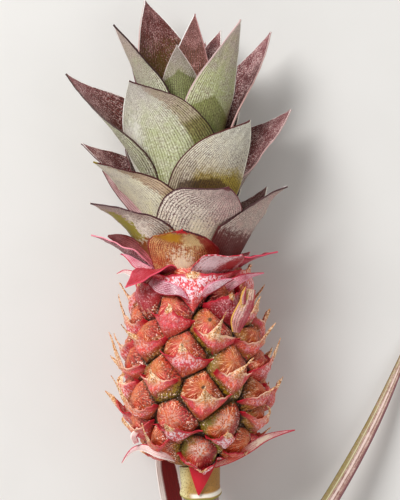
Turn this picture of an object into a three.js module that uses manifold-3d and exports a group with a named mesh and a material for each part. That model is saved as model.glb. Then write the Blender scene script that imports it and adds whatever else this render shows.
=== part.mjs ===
// A cut miniature pineapple that lies on a table: a rosette of stiff leaves over a small fruit, the bracts of its
// neck, a length of stem, and two narrow stem leaves. Millimetres, +Z up.
//
// Inside the plant's own group the middle line of the fruit is the Y axis, with the foot of the crown at Y = 0, the
// crown's tip towards +Y and the stem towards -Y. X is the plant's side, and Z its height over the middle line.
// An azimuth goes round the middle line: 0 faces straight up from the table, 90 the side +X, 180 the table.
import * as THREE from "three";
import { mergeVertices } from "three/addons/utils/BufferGeometryUtils.js";
import Module from "manifold-3d";

// How the plant lies
const MIDDLE_HEIGHT = 24; // of the fruit's middle line over the table
const LEAN = 2.5; // degrees that the plant is turned to the left
const CLEARANCE = 0.3; // between pieces that touch

// Fruit: a barrel with its widest place below its middle
const FRUIT_RADIUS = 21.6;
const FRUIT_SHOULDER = 15.5; // its radius under the crown
const FRUIT_TOP = -1.2;
const FRUIT_WIDEST = -37.5;
const FRUIT_BOTTOM = -57;
const FRUIT_NARROWING = 1.45; // how soon the barrel narrows towards its bottom: the lower, the sooner
const EYE_DEPTH = 3.2; // from the grooves between the fruitlets up to the barrel's outline

// Fruitlets: one after the other round the fruit by the golden angle
const FRUITLET_COUNT = 66;
const FRUITLET_DIVERGENCE = 137.5;
const FRUITLET_LOW_COUNT = 30; // the fruitlets below the widest place stand closer along the fruit
const FRUITLET_LOW_RISE = 0.68;
const FRUITLET_RISE = 0.95;
const FRUITLET_FIRST_HEIGHT = -56;
const FRUITLET_FIRST_AZIMUTH = -160.2;
const FRUITLETS_LEFT_OUT = [1, 4, 6]; // where the lowest ones in front reach the stem
const EYE_WIDTH = 15;
const EYE_HEIGHT = 14.4;
const SPINE_RISE = 5; // how far a bract's tip stands over the barrel's outline
const SPINE_FLOOR = 0.8; // the spines that the fruit lies on are pressed flat at this height
const SUNK = -0.8; // a fruitlet's rim, under the surface of the body
const RIM_TO_RING = [0, 0, 1, 2, 3, 4, 5, 0]; // which point of a fruitlet's upper ring each point of its rim meets

// Crown: a conical core that the leaves grow from
const CORE_FOOT_RADIUS = 12.5;
const CORE_TIP_RADIUS = 2.6;
const CORE_HEIGHT = 58;

// Leaf blades
const BLADE_THICKNESS = 1.0;
const BLADE_STEPS = 6; // along the blade
const BLADE_STRIPS = 4; // across it
const TIP_WIDTH = 0.5;
const BLADE_OPENING = 1.5; // how much flatter a blade's arc is at its tip than at its foot
const TABLE_BEND = 2.5; // a blade starts to bend along the table this far above it

// Stem
const STEM_RADIUS = 5.6;
const STEM_END = -122;
const STEM_NODE_SPACING = 15;
const STEM_NODE_RISE = 0.7;
const SHEATH_END = -66;
const STEM_BRACT_WIDTH = 7.5;
const STEM_BRACT_LENGTH = 8.3;

const COLOURS = {
  fruit: 0xd9707a,
  core: 0x8f9a5a,
  leaf: 0xb9bfa0,
  darkLeaf: 0x7a4a4c,
  bract: 0xc23a55,
  stem: 0xa08a8c,
  sheath: 0xc9c58a,
};

// The leaves that show from above, from the crown's foot up. foot is the height that a leaf grows from, and tip its
// point as [side, height, height over the middle line]. lift and splay are the angles between blade and middle line
// at the foot and at the tip; widest is the share of the length where the blade is broadest, and fullness how
// slowly it narrows from there to the tip.
const FRONT_LEAVES = [
  { azimuth: -10, foot: 0, tip: [-2, 13.5, 24], width: 22, lift: 25, splay: 60, widest: 0.4, fullness: 1.7 },
  { azimuth: -52, foot: 3, tip: [-28.7, 22.5, 18], width: 23, lift: 16, splay: 78, widest: 0.3, fullness: 1.15 },
  { azimuth: 64, foot: 3, tip: [29.6, 25, 13], width: 25, lift: 36, splay: 74, widest: 0.3, fullness: 1.3 },
  { azimuth: 2, foot: 5, tip: [12, 25.3, 27], width: 27, lift: 16, splay: 58, widest: 0.4, fullness: 1.7 },
  { azimuth: -42, foot: 9, tip: [-27.2, 34.6, 18], width: 23, lift: 12, splay: 70, widest: 0.3, fullness: 1.15 },
  { azimuth: -128, foot: 12, tip: [-31.4, 41, -4], width: 22, lift: 14, splay: 55, dark: true },
  { azimuth: 23, foot: 13, tip: [19.3, 44.8, 18], width: 25, lift: 10, splay: 45, widest: 0.35, fullness: 1.6 },
  { azimuth: 115, foot: 14, tip: [32.3, 48.6, -8], width: 25, lift: 14, splay: 45, dark: true },
  { azimuth: -17, foot: 18, tip: [-15.8, 58, 18], width: 33, lift: 9, splay: 45, widest: 0.35, fullness: 1.6 },
  { azimuth: -112, foot: 19, tip: [-35, 61.9, 0], width: 29, lift: 12, splay: 42, dark: true },
  { azimuth: 130, foot: 26, tip: [27.3, 72.5, -10], width: 24, lift: 8, splay: 30, dark: true },
  { azimuth: 40, foot: 28, tip: [18, 75.3, 9], width: 21, lift: 7, splay: 25, fullness: 1.3 },
  { azimuth: -46, foot: 34, tip: [-19.8, 75.3, 10], width: 19, lift: 8, splay: 35, fullness: 1.4 },
  { azimuth: -152, foot: 34, tip: [-10.5, 83.7, -10], width: 27, lift: 8, splay: 22, fullness: 1.4, dark: true },
  { azimuth: -5, foot: 40, tip: [-1.3, 68.6, 8], width: 15, lift: 6, splay: 12, widest: 0.3, fullness: 1.6 },
  { azimuth: 160, foot: 42, tip: [4.5, 78.7, -6], width: 16, lift: 8, splay: 15, dark: true },
];

// The leaves on the side of the table follow one rule.
const UNDER_LEAF_COUNT = 12;
const UNDER_LEAF_SECTOR = 62; // degrees to each side of straight down
const UNDER_LEAF_STEP = 3.1; // from one foot to the next

// The crimson bracts of the neck, between crown and fruit
const NECK_BRACTS = [
  { azimuth: 30, foot: 0.6, tip: [15.6, 5.9, 21], width: 15, lift: 45, splay: 75, fullness: 1.8 },
  { azimuth: -78, foot: 1.2, tip: [-29.3, 13.2, 6], width: 14, lift: 45, splay: 75, fullness: 1.2 },
  { azimuth: 84, foot: 0.8, tip: [26.1, 5.8, 4], width: 13, lift: 50, splay: 80, fullness: 1.2 },
  { azimuth: -100, foot: 0.8, tip: [-21, 7.2, 0], width: 11, lift: 45, splay: 75, fullness: 1.2 },
  { azimuth: -38, foot: 0.6, tip: [-19.4, -2.6, 18], width: 13, lift: 50, splay: 110, fullness: 1.2 },
  { azimuth: 132, foot: 1, tip: [18, 6, -16], width: 13, lift: 50, splay: 75, fullness: 1.2 },
  { azimuth: 180, foot: 1, tip: [0, 7, -22], width: 13, lift: 50, splay: 75, fullness: 1.2 },
  { azimuth: -140, foot: 1, tip: [-16, 8, -18], width: 13, lift: 50, splay: 75, fullness: 1.2 },
];

const STEM_LEAVES = {
  stem_leaf_left: {
    azimuth: -150, foot: -112, tip: [-10.3, -49, -17.5], width: 8.2, lift: 6, splay: 10, widest: 0.8, fullness: 2,
  },
  stem_leaf_right: {
    azimuth: 165, foot: -114, tip: [72, -12, -24], width: 5.8, lift: 45, liftAzimuth: 90, splay: 25, widest: 0.25,
    fullness: 2.6,
  },
};

const wasm = await Module();
wasm.setup();
const { Manifold } = wasm;
const radians = THREE.MathUtils.degToRad;

// Directions round the middle line
function outwardAt(azimuth) {
  return new THREE.Vector3(Math.sin(azimuth), 0, Math.cos(azimuth));
}

function aroundAt(azimuth) {
  return new THREE.Vector3(Math.cos(azimuth), 0, -Math.sin(azimuth));
}

// Solids and meshes
function solidFrom(geometry) {
  for (const name of Object.keys(geometry.attributes)) {
    if (name !== "position") geometry.deleteAttribute(name);
  }
  const merged = mergeVertices(geometry, 1e-4);
  return new Manifold(
    new wasm.Mesh({
      numProp: 3,
      vertProperties: merged.attributes.position.array,
      triVerts: new Uint32Array(merged.index.array),
    }),
  );
}

function meshFrom(name, solid, colour, roughness = 0.7) {
  const body = solid.getMesh();
  const geometry = new THREE.BufferGeometry();
  geometry.setAttribute("position", new THREE.BufferAttribute(body.vertProperties, 3));
  geometry.setIndex(new THREE.BufferAttribute(body.triVerts, 1));
  geometry.computeVertexNormals();
  const material = new THREE.MeshStandardMaterial({ color: colour, roughness, metalness: 0 });
  const mesh = new THREE.Mesh(geometry, material);
  mesh.name = name;
  return mesh;
}

function largestBody(solid) {
  const bodies = solid.decompose();
  return bodies.reduce((best, body) => (body.volume() > best.volume() ? body : best));
}

// What lies on the table bends along it: a height near or below the table comes out just above it, in the same order.
function bentAlongTable(height, floor, bend) {
  const overTable = height + MIDDLE_HEIGHT;
  const level = floor + bend;
  if (overTable >= level) return height;
  return floor + bend * Math.exp((overTable - level) / bend) - MIDDLE_HEIGHT;
}

function crownRadius(height) {
  const share = THREE.MathUtils.clamp(height / CORE_HEIGHT, 0, 1);
  return THREE.MathUtils.lerp(CORE_FOOT_RADIUS, CORE_TIP_RADIUS, share);
}

// Half of a blade's width along its length, as a share of its greatest half width
function widthShare(along, widest, fullness) {
  const footShare = 0.85;
  if (along < widest) return footShare + (1 - footShare) * Math.sin((along / widest) * (Math.PI / 2));
  return 1 - ((along - widest) / (1 - widest)) ** fullness;
}

// The middle surface of a blade, as rows of points from its foot to its tip: an arc across, wrapped round what
// carries it, that flattens towards the tip
function bladeRows(leaf, seatRadius, grow) {
  const { widest = 0.35, fullness = 1.25, liftAzimuth = leaf.azimuth } = leaf;
  const azimuth = radians(leaf.azimuth);
  const outward = outwardAt(azimuth);
  const around = aroundAt(azimuth);
  const middle = new THREE.Vector3(0, 1, 0);
  const footRadius = seatRadius + CLEARANCE + BLADE_THICKNESS / 2;
  const foot = outward.clone().multiplyScalar(footRadius).setY(leaf.foot);
  const tip = new THREE.Vector3(...leaf.tip);
  const tipOutward = tip.clone().setY(0).normalize();
  const chord = tip.distanceTo(foot);
  const towards = (angle, side) =>
    middle.clone().multiplyScalar(Math.cos(radians(angle))).addScaledVector(side, Math.sin(radians(angle)));
  const rib = new THREE.CubicBezierCurve3(
    foot,
    foot.clone().addScaledVector(towards(leaf.lift, outwardAt(radians(liftAzimuth))), 0.42 * chord),
    tip.clone().addScaledVector(towards(leaf.splay, tipOutward), -0.32 * chord),
    tip,
  );
  const rows = [];
  for (let i = 0; i <= BLADE_STEPS; i++) {
    const along = i / BLADE_STEPS;
    const tangent = rib.getTangent(along);
    const side = around.clone().addScaledVector(tangent, -around.dot(tangent)).normalize();
    const out = side.clone().cross(tangent);
    const curve = footRadius * (1 + BLADE_OPENING * along);
    const half = Math.max((leaf.width / 2) * widthShare(along, widest, fullness), TIP_WIDTH / 2) + grow;
    const row = [];
    for (let j = 0; j <= BLADE_STRIPS; j++) {
      const turn = (((2 * j) / BLADE_STRIPS - 1) * half) / curve;
      const point = rib.getPoint(along);
      point.addScaledVector(side, curve * Math.sin(turn)).addScaledVector(out, curve * (Math.cos(turn) - 1));
      point.z = bentAlongTable(point.z, BLADE_THICKNESS * 0.6, TABLE_BEND);
      row.push(point);
    }
    rows.push(row);
  }
  return rows;
}

// A closed blade: the middle surface, thick along the rib and thinner at the margins and the tip
function bladeSolid(leaf, seatRadius, grow = 0) {
  const rows = bladeRows(leaf, seatRadius, grow);
  const across = BLADE_STRIPS + 1;
  const outer = [];
  const inner = [];
  rows.forEach((row, i) =>
    row.forEach((point, j) => {
      const along = rows[Math.min(i + 1, BLADE_STEPS)][j].clone().sub(rows[Math.max(i - 1, 0)][j]);
      const side = row[Math.min(j + 1, BLADE_STRIPS)].clone().sub(row[Math.max(j - 1, 0)]);
      const normal = side.cross(along).normalize();
      const margin = Math.abs((2 * j) / BLADE_STRIPS - 1);
      const half = (BLADE_THICKNESS / 2) * (1 - 0.45 * margin ** 2) * (1 - (0.35 * i) / BLADE_STEPS) + grow;
      outer.push(point.clone().addScaledVector(normal, half));
      inner.push(point.clone().addScaledVector(normal, -half));
    }),
  );
  const count = outer.length;
  const faces = [];
  const quad = (a, b, c, d) => faces.push(a, b, c, a, c, d);
  for (let i = 0; i < BLADE_STEPS; i++) {
    for (let j = 0; j < BLADE_STRIPS; j++) {
      const a = i * across + j;
      quad(a, a + 1, a + across + 1, a + across);
      quad(count + a, count + a + across, count + a + across + 1, count + a + 1);
    }
    const left = i * across;
    const right = left + BLADE_STRIPS;
    quad(left, left + across, count + left + across, count + left);
    quad(right, count + right, count + right + across, right + across);
  }
  for (let j = 0; j < BLADE_STRIPS; j++) {
    const end = BLADE_STEPS * across + j;
    quad(j, count + j, count + j + 1, j + 1);
    quad(end, end + 1, count + end + 1, count + end);
  }
  const geometry = new THREE.BufferGeometry();
  geometry.setAttribute("position", new THREE.Float32BufferAttribute([...outer, ...inner].flatMap((p) => [...p]), 3));
  geometry.setIndex(faces);
  return solidFrom(geometry);
}

function blade(name, leaf, seatRadius, colour) {
  const solid = bladeSolid(leaf, seatRadius);
  return { name, colour, solid, cutter: bladeSolid(leaf, seatRadius, CLEARANCE).add(solid) };
}

// Two blades that cross: the one that loses less of itself gives way to the other.
function partBlades(blades) {
  blades.forEach((first, i) =>
    blades.slice(i + 1).forEach((second) => {
      if (first.solid.intersect(second.cutter).volume() === 0) return;
      const cutFirst = largestBody(first.solid.subtract(second.cutter));
      const cutSecond = largestBody(second.solid.subtract(first.cutter));
      const firstLoss = first.solid.volume() - cutFirst.volume();
      const secondLoss = second.solid.volume() - cutSecond.volume();
      if (firstLoss < secondLoss) first.solid = cutFirst;
      else second.solid = cutSecond;
    }),
  );
}

// Leaves on the side of the table
function underLeaf(index) {
  const golden = 0.618;
  const place = ((index * golden + 0.4) % 1) * 2 - 1;
  const azimuth = 180 + UNDER_LEAF_SECTOR * place;
  const foot = 1 + UNDER_LEAF_STEP * index;
  const reach = 29 - 0.25 * foot;
  const tip = outwardAt(radians(azimuth)).multiplyScalar(reach).setY(Math.min(17 + 2.1 * foot, 74));
  tip.z = Math.max(tip.z, -MIDDLE_HEIGHT - 2);
  return { azimuth, foot, tip: tip.toArray(), width: 26 - 0.2 * foot, lift: 14, splay: 45, fullness: 1.3 };
}

// Fruit
function barrelRadius(height) {
  if (height > FRUIT_WIDEST) {
    const share = (height - FRUIT_WIDEST) / -FRUIT_WIDEST;
    return FRUIT_RADIUS - (FRUIT_RADIUS - FRUIT_SHOULDER) * share ** 2;
  }
  const share = Math.min((FRUIT_WIDEST - height) / (FRUIT_WIDEST - FRUIT_BOTTOM + 1), 1);
  return FRUIT_RADIUS * Math.sqrt(1 - share ** FRUIT_NARROWING);
}

function fruitBody() {
  const steps = 10;
  const profile = [new THREE.Vector2(0, FRUIT_BOTTOM)];
  for (let i = 0; i <= steps; i++) {
    const height = THREE.MathUtils.lerp(FRUIT_BOTTOM, FRUIT_TOP, i / steps);
    profile.push(new THREE.Vector2(Math.max(barrelRadius(height) - EYE_DEPTH, STEM_RADIUS), height));
  }
  profile.push(new THREE.Vector2(0, FRUIT_TOP));
  return solidFrom(new THREE.LatheGeometry(profile, 20));
}

// One fruitlet is a low dome with its bract over the lower half of it: a shield with two corners, a V at the bottom
// and a spine that rises from its keel. It is as large as the fruit is wide at its height, and sunk into the body.
function fruitletSolid(index) {
  const low = Math.min(index, FRUITLET_LOW_COUNT);
  const height = FRUITLET_FIRST_HEIGHT + FRUITLET_LOW_RISE * low + FRUITLET_RISE * (index - low);
  const azimuth = radians(FRUITLET_FIRST_AZIMUTH + FRUITLET_DIVERGENCE * index);
  const slope = barrelRadius(height + 1) - barrelRadius(height - 1);
  const up = new THREE.Vector3(0, 2, 0).addScaledVector(outwardAt(azimuth), slope).normalize();
  const right = aroundAt(azimuth);
  const out = right.clone().cross(up);
  const centre = outwardAt(azimuth)
    .multiplyScalar(barrelRadius(height) - EYE_DEPTH)
    .setY(height);
  const size = THREE.MathUtils.clamp(barrelRadius(height) / FRUIT_RADIUS, 0.62, 1);
  const points = [];
  const place = (x, y, z) => {
    const point = centre.clone().addScaledVector(right, (x * size * EYE_WIDTH) / 2);
    point.addScaledVector(up, (y * size * EYE_HEIGHT) / 2).addScaledVector(out, z);
    point.z = Math.max(point.z, SPINE_FLOOR - MIDDLE_HEIGHT);
    return points.push(point) - 1;
  };
  const rim = [];
  for (let i = 0; i < 8; i++) {
    const turn = (i * Math.PI) / 4;
    const reach = i % 2 ? 0.76 : 0.95; // a diamond with its sides a little full
    rim.push(place(reach * Math.sin(turn), -reach * Math.cos(turn), SUNK));
  }
  const keel = place(0, -0.55, EYE_DEPTH + 1);
  const cornerRight = place(0.82, -0.08, EYE_DEPTH - 0.8);
  const domeRight = place(0.5, 0.35, EYE_DEPTH - 0.6);
  const dome = place(0, 0.5, EYE_DEPTH + 0.1);
  const domeLeft = place(-0.5, 0.35, EYE_DEPTH - 0.6);
  const cornerLeft = place(-0.82, -0.08, EYE_DEPTH - 0.8);
  const rootRight = place(0.22, -0.22, EYE_DEPTH + 0.6);
  const rootLeft = place(-0.22, -0.22, EYE_DEPTH + 0.6);
  const rootBack = place(0, -0.05, EYE_DEPTH + 0.4);
  const spine = place(0, 0.36, EYE_DEPTH + SPINE_RISE * size);
  const ring = [keel, cornerRight, domeRight, dome, domeLeft, cornerLeft];
  const faces = [
    [keel, rootRight, spine], [rootRight, rootBack, spine], [rootBack, rootLeft, spine], [rootLeft, keel, spine],
    [keel, cornerRight, rootRight], [cornerRight, domeRight, rootRight], [domeRight, rootBack, rootRight],
    [keel, rootLeft, cornerLeft], [cornerLeft, rootLeft, domeLeft], [domeLeft, rootLeft, rootBack],
    [domeRight, dome, rootBack], [dome, domeLeft, rootBack],
  ];
  for (let i = 0; i < 8; i++) {
    const next = (i + 1) % 8;
    const here = ring[RIM_TO_RING[i]];
    const there = ring[RIM_TO_RING[next]];
    faces.push([rim[i], rim[next], here]);
    if (here !== there) faces.push([rim[next], there, here]);
    if (i > 0 && i < 7) faces.push([rim[0], rim[next], rim[i]]);
  }
  const geometry = new THREE.BufferGeometry();
  geometry.setAttribute("position", new THREE.Float32BufferAttribute(points.flatMap((p) => [...p]), 3));
  geometry.setIndex(faces.flat());
  return solidFrom(geometry);
}

function fruitSolid() {
  const pieces = [fruitBody()];
  for (let i = 0; i < FRUITLET_COUNT; i++) {
    if (!FRUITLETS_LEFT_OUT.includes(i)) pieces.push(fruitletSolid(i));
  }
  return Manifold.union(pieces);
}

// Crown core and stem, each also a little larger to cut their bed into the fruit
function crownCore(grow = 0) {
  const foot = FRUIT_TOP + CLEARANCE - grow;
  const profile = [
    new THREE.Vector2(0, foot),
    new THREE.Vector2(CORE_FOOT_RADIUS + grow, foot),
    new THREE.Vector2(CORE_FOOT_RADIUS + grow, 0),
    new THREE.Vector2(CORE_TIP_RADIUS + grow, CORE_HEIGHT),
    new THREE.Vector2(0, CORE_HEIGHT + CORE_TIP_RADIUS + grow),
  ];
  return solidFrom(new THREE.LatheGeometry(profile, 24));
}

function stemSolid(grow = 0) {
  const top = SHEATH_END - CLEARANCE + grow;
  const profile = [new THREE.Vector2(0, top), new THREE.Vector2(STEM_RADIUS - 0.3 + grow, top)];
  for (let node = SHEATH_END - STEM_NODE_SPACING; node > STEM_END + 3; node -= STEM_NODE_SPACING) {
    profile.push(
      new THREE.Vector2(STEM_RADIUS + grow, node + 1.2),
      new THREE.Vector2(STEM_RADIUS + STEM_NODE_RISE + grow, node),
      new THREE.Vector2(STEM_RADIUS - 0.3 + grow, node - 2.5),
    );
  }
  profile.push(new THREE.Vector2(STEM_RADIUS + grow, STEM_END), new THREE.Vector2(0, STEM_END));
  return solidFrom(new THREE.LatheGeometry(profile.reverse(), 16));
}

// The stem's first length under the fruit keeps its leaf base round it, with a rim that stands out.
function sheathSolid(grow = 0) {
  const top = FRUIT_BOTTOM - CLEARANCE + grow;
  const profile = [
    new THREE.Vector2(0, SHEATH_END),
    new THREE.Vector2(STEM_RADIUS, SHEATH_END),
    new THREE.Vector2(STEM_RADIUS + STEM_NODE_RISE + grow, SHEATH_END + 1),
    new THREE.Vector2(STEM_RADIUS + 0.2 + grow, SHEATH_END + 3),
    new THREE.Vector2(STEM_RADIUS + 0.5 + grow, top),
    new THREE.Vector2(0, top),
  ];
  return solidFrom(new THREE.LatheGeometry(profile, 20));
}

// A pointed bract hangs down from under the fruit over the sheath.
function stemBract() {
  const top = FRUIT_BOTTOM - CLEARANCE;
  const outline = new THREE.Shape([
    new THREE.Vector2(-STEM_BRACT_WIDTH / 2, top),
    new THREE.Vector2(0, top - STEM_BRACT_LENGTH),
    new THREE.Vector2(STEM_BRACT_WIDTH / 2, top),
  ]);
  const plate = new THREE.ExtrudeGeometry(outline, { depth: 0.6, bevelEnabled: false });
  return solidFrom(plate.translate(0, 0, STEM_RADIUS + STEM_NODE_RISE + CLEARANCE));
}

// Assembly
const pad = (number) => String(number).padStart(2, "0");
const blades = [
  ...FRONT_LEAVES.map((leaf, i) =>
    blade("crown_leaf_" + pad(i + 1), leaf, crownRadius(leaf.foot), leaf.dark ? COLOURS.darkLeaf : COLOURS.leaf),
  ),
  ...Array.from({ length: UNDER_LEAF_COUNT }, (_, i) => {
    const leaf = underLeaf(i);
    return blade("under_leaf_" + pad(i + 1), leaf, crownRadius(leaf.foot), COLOURS.darkLeaf);
  }),
  ...NECK_BRACTS.map((leaf, i) =>
    blade("neck_bract_" + (i + 1), leaf, crownRadius(leaf.foot), COLOURS.bract),
  ),
  ...Object.entries(STEM_LEAVES).map(([name, leaf]) => blade(name, leaf, STEM_RADIUS + STEM_NODE_RISE, COLOURS.darkLeaf)),
];
const bed = Manifold.union([crownCore(CLEARANCE), sheathSolid(CLEARANCE), stemSolid(CLEARANCE)]);
for (const item of blades) item.solid = largestBody(item.solid.subtract(bed));
partBlades(blades);
const fruit = largestBody(fruitSolid().subtract(Manifold.union([bed, ...blades.map(({ cutter }) => cutter)])));

const plant = new THREE.Group();
plant.add(meshFrom("fruit", fruit, COLOURS.fruit, 0.55));
plant.add(meshFrom("crown_core", crownCore(), COLOURS.core));
plant.add(meshFrom("stem_sheath", sheathSolid(), COLOURS.sheath));
plant.add(meshFrom("stem_bract", stemBract(), COLOURS.bract));
plant.add(meshFrom("stem", stemSolid(), COLOURS.stem));
for (const { name, solid, colour } of blades) plant.add(meshFrom(name, solid, colour));
plant.rotation.z = radians(LEAN);

// The origin is on the table, under the middle of the whole plant.
const part = new THREE.Group();
part.add(plant);
part.updateMatrixWorld(true);
const box = new THREE.Box3().setFromObject(part, true);
plant.position.set(-(box.min.x + box.max.x) / 2, -(box.min.y + box.max.y) / 2, -box.min.z);

export default part;
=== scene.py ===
"""A cut miniature pineapple on a pale table: silvery crown, pink fruit, crimson bracts and a short stem."""
import math

import bpy
import numpy as np
from bpy.props import FloatProperty, FloatVectorProperty, IntProperty, PointerProperty
from bpy.types import Operator, Panel, PropertyGroup
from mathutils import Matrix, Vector


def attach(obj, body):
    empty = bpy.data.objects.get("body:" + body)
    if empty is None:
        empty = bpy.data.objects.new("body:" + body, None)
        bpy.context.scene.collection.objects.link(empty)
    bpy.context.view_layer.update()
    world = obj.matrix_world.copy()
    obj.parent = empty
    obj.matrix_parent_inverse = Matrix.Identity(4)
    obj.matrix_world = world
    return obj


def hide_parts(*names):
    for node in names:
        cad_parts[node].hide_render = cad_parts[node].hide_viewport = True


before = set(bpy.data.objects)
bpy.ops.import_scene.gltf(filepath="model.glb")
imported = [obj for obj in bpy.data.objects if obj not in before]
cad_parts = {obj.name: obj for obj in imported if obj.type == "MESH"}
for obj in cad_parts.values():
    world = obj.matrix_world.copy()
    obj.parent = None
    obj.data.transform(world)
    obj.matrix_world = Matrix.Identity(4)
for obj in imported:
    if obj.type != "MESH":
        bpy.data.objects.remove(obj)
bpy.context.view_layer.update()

bl_info = {
    "name": "Miniature pineapple",
    "version": (1, 0, 0),
    "blender": (4, 5, 0),
    "location": "3D View > Sidebar > Pineapple",
    "description": "Builds a miniature pineapple fruit with its crown, bracts and stem",
    "category": "Add Mesh",
}

MM = 0.001
UNTURNED_BODY = "root"

# How the plant lies: its own axes in the part, from the tip of the crown's core
LEAN = math.radians(2.5)
SIDE = np.array([math.cos(LEAN), math.sin(LEAN), 0.0])
ALONG = np.array([-math.sin(LEAN), math.cos(LEAN), 0.0])
UPWARD = np.array([0.0, 0.0, 1.0])
AXES = np.array([SIDE, ALONG, UPWARD])
MIDDLE_LINE = np.array([0.0, 1.0, 0.0])
CORE_TIP_HEIGHT = 60.6
MIDDLE_HEIGHT = 24.0
CORE_TIP = max(
    (vertex.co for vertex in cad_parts["crown_core"].data.vertices), key=lambda point: point.y)
FOOT = np.array(CORE_TIP) - ALONG * CORE_TIP_HEIGHT * MM

# Crown and blades: lengths in millimetres, the rest are shares
CORE_FOOT_RADIUS = 12.5
CORE_TIP_RADIUS = 2.6
CORE_HEIGHT = 58.0
BLADE_CLEARANCE = 0.3
BLADE_THICKNESS = 1.0
BLADE_OPENING = 1.5
BLADE_WIDEST = 0.35
BLADE_FULLNESS = 1.25
BLADE_RIPPLE = 0.3
BLADE_GROOVE_DEPTH = 0.06
BLADE_GROOVE_PITCH = 2.2
FOOT_PULL = 0.42
TIP_PULL = 0.32
TIP_WIDTH = 0.5
TABLE_CLEARANCE = BLADE_THICKNESS * 0.6
TABLE_BEND = 2.5

# Fruit: lengths in millimetres, turns in degrees
FRUIT_RADIUS = 21.6
FRUIT_SHOULDER = 15.5
FRUIT_TOP = -1.2
FRUIT_WIDEST = -37.5
FRUIT_BOTTOM = -57.0
FRUIT_NARROWING = 1.45
EYE_DEPTH = 3.2
EYE_COUNT = 66
EYE_DIVERGENCE = 137.5
EYE_LOW_COUNT = 30
EYE_FULL_RADIUS = 20.0
EYE_LEAST_SIZE = 0.6
EYE_LOW_RISE = 0.68
EYE_RISE = 0.95
EYE_FIRST_HEIGHT = -56.0
EYE_FIRST_AZIMUTH = -160.2
EYES_LEFT_OUT = (0, 1, 2, 3, 4, 6, 7, 25)
CELL_LIMIT = 11.0
CELL_ROUNDING = 22
CELL_LEVEL = EYE_DEPTH * 0.4
NEIGHBOUR_DISTANCE = 26.0
DOME_OVER_CELL = 3.6
FRUIT_BRACT_THICKNESS = 0.45
LOOSE_BRACT_THICKNESS = 0.5
HANGING_BRACT_THICKNESS = 0.6
SPINE_LENGTH = 7.2
SPINE_FLOOR = 0.8
EYE_UV_WIDTH = 20.0

# A bract's corner: between two directions from its cell's middle, in degrees, at a share of the cell's reach
BRACT_CORNERS = {"foot": (-125, -55, 1.0), "left": (-215, -165, 1.12), "right": (-15, 35, 1.12)}

# Wrinkles of domes and bracts: depth and pitch in millimetres, and seed
DOME_WRINKLES = ((0.34, 3.4, 40), (0.14, 1.3, 90))
BRACT_WRINKLES = ((0.28, 3.4, 200), (0.16, 1.5, 300))

# Seeds of the leaves' ripples and of the fruitlets' dials, and the count of a fruitlet's dials
UNDER_LEAF_SEED = 60
NECK_SEED = 30
STEM_LEAF_SEED = 80
FRUIT_SEED = 11
DIAL_COUNT = 14

# Stem, in millimetres
STEM_RADIUS = 5.6
STEM_END = -122.0
STEM_NODE_COUNT = 3
STEM_NODE_SPACING = 15.0
STEM_NODE_RISE = 0.7
SHEATH_END = -66.0
SHEATH_SAG = 1.7
HANGING_LENGTH = 8.9
HANGING_HALF_WIDTH = 3.9

# The photograph's view: millimetres per picture point at the height of the fruit's middle line
POINT = 0.3
PICTURE_HEIGHT = 500.0
PICTURE_MIDDLE = (200.0, 250.0)
CAMERA_OFFSET = (2.6, 7.5)
CAMERA_DISTANCE = 900.0
SENSOR_WIDTH = 36.0

# The table and the studio, in metres
TABLE_SIZE = 6
TABLE_DROP = 0.0003
STUDIO_COLOUR = (1.0, 0.985, 0.97, 1.0)
STUDIO_STRENGTH = 0.28

# The studio's lights: name, place over the plant's foot and size in metres, and power in watts
LIGHTS = (
    ("key", (-0.5, 0.5, 0.7), 0.5, 9.2),
    ("fill", (0.6, -0.2, 0.7), 0.7, 1.6),
    ("low", (-0.2, -0.7, 0.5), 0.5, 1.2),
)

# The leaves that face the camera, by number
FRONT_LEAVES = {
    1: dict(azimuth=-10, foot=0, tip=(-2, 13.5, 24), width=22, lift=25, splay=60, widest=0.4, fullness=1.7),
    2: dict(
        azimuth=-52, foot=3, tip=(-28.7, 22.5, 18), width=23, lift=16, splay=78, widest=0.3, fullness=1.15),
    3: dict(azimuth=64, foot=3, tip=(29.6, 25, 13), width=25, lift=36, splay=74, widest=0.3, fullness=0.85),
    4: dict(azimuth=2, foot=5, tip=(12, 25.3, 27), width=27, lift=16, splay=58, widest=0.4, fullness=1.7),
    5: dict(
        azimuth=-42, foot=9, tip=(-27.2, 34.6, 18), width=23, lift=12, splay=70, widest=0.3, fullness=1.15),
    6: dict(azimuth=-128, foot=12, tip=(-31.4, 41, -4), width=22, lift=14, splay=55),
    7: dict(
        azimuth=13, foot=13, tip=(19.3, 44.8, 18), width=22.5, lift=10, splay=45, widest=0.35,
        fullness=1.6),
    8: dict(azimuth=128, foot=14, tip=(32.3, 48.6, -8), width=31, lift=14, splay=45),
    9: dict(
        azimuth=-17, foot=18, tip=(-15.8, 58, 18), width=33, lift=9, splay=45, widest=0.35, fullness=1.6),
    10: dict(azimuth=-118, foot=19, tip=(-35, 61.9, 0), width=34, lift=12, splay=42, opening=1.0),
    11: dict(azimuth=130, foot=26, tip=(27.3, 72.5, -10), width=24, lift=8, splay=30),
    12: dict(azimuth=38, foot=28, tip=(18, 75.3, 9), width=19.5, lift=7, splay=25, fullness=1.3),
    13: dict(azimuth=-59, foot=34, tip=(-19.8, 75.3, 10), width=16.5, lift=8, splay=35, fullness=1.4),
    14: dict(azimuth=-152, foot=34, tip=(-10.5, 83.7, -10), width=27, lift=8, splay=22, fullness=1.4),
    15: dict(
        azimuth=-5, foot=40, tip=(-1.3, 68.6, 8), width=15, lift=6, splay=12, widest=0.3, fullness=1.6),
    16: dict(azimuth=160, foot=42, tip=(4.5, 78.7, -6), width=16, lift=8, splay=15),
}

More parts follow.
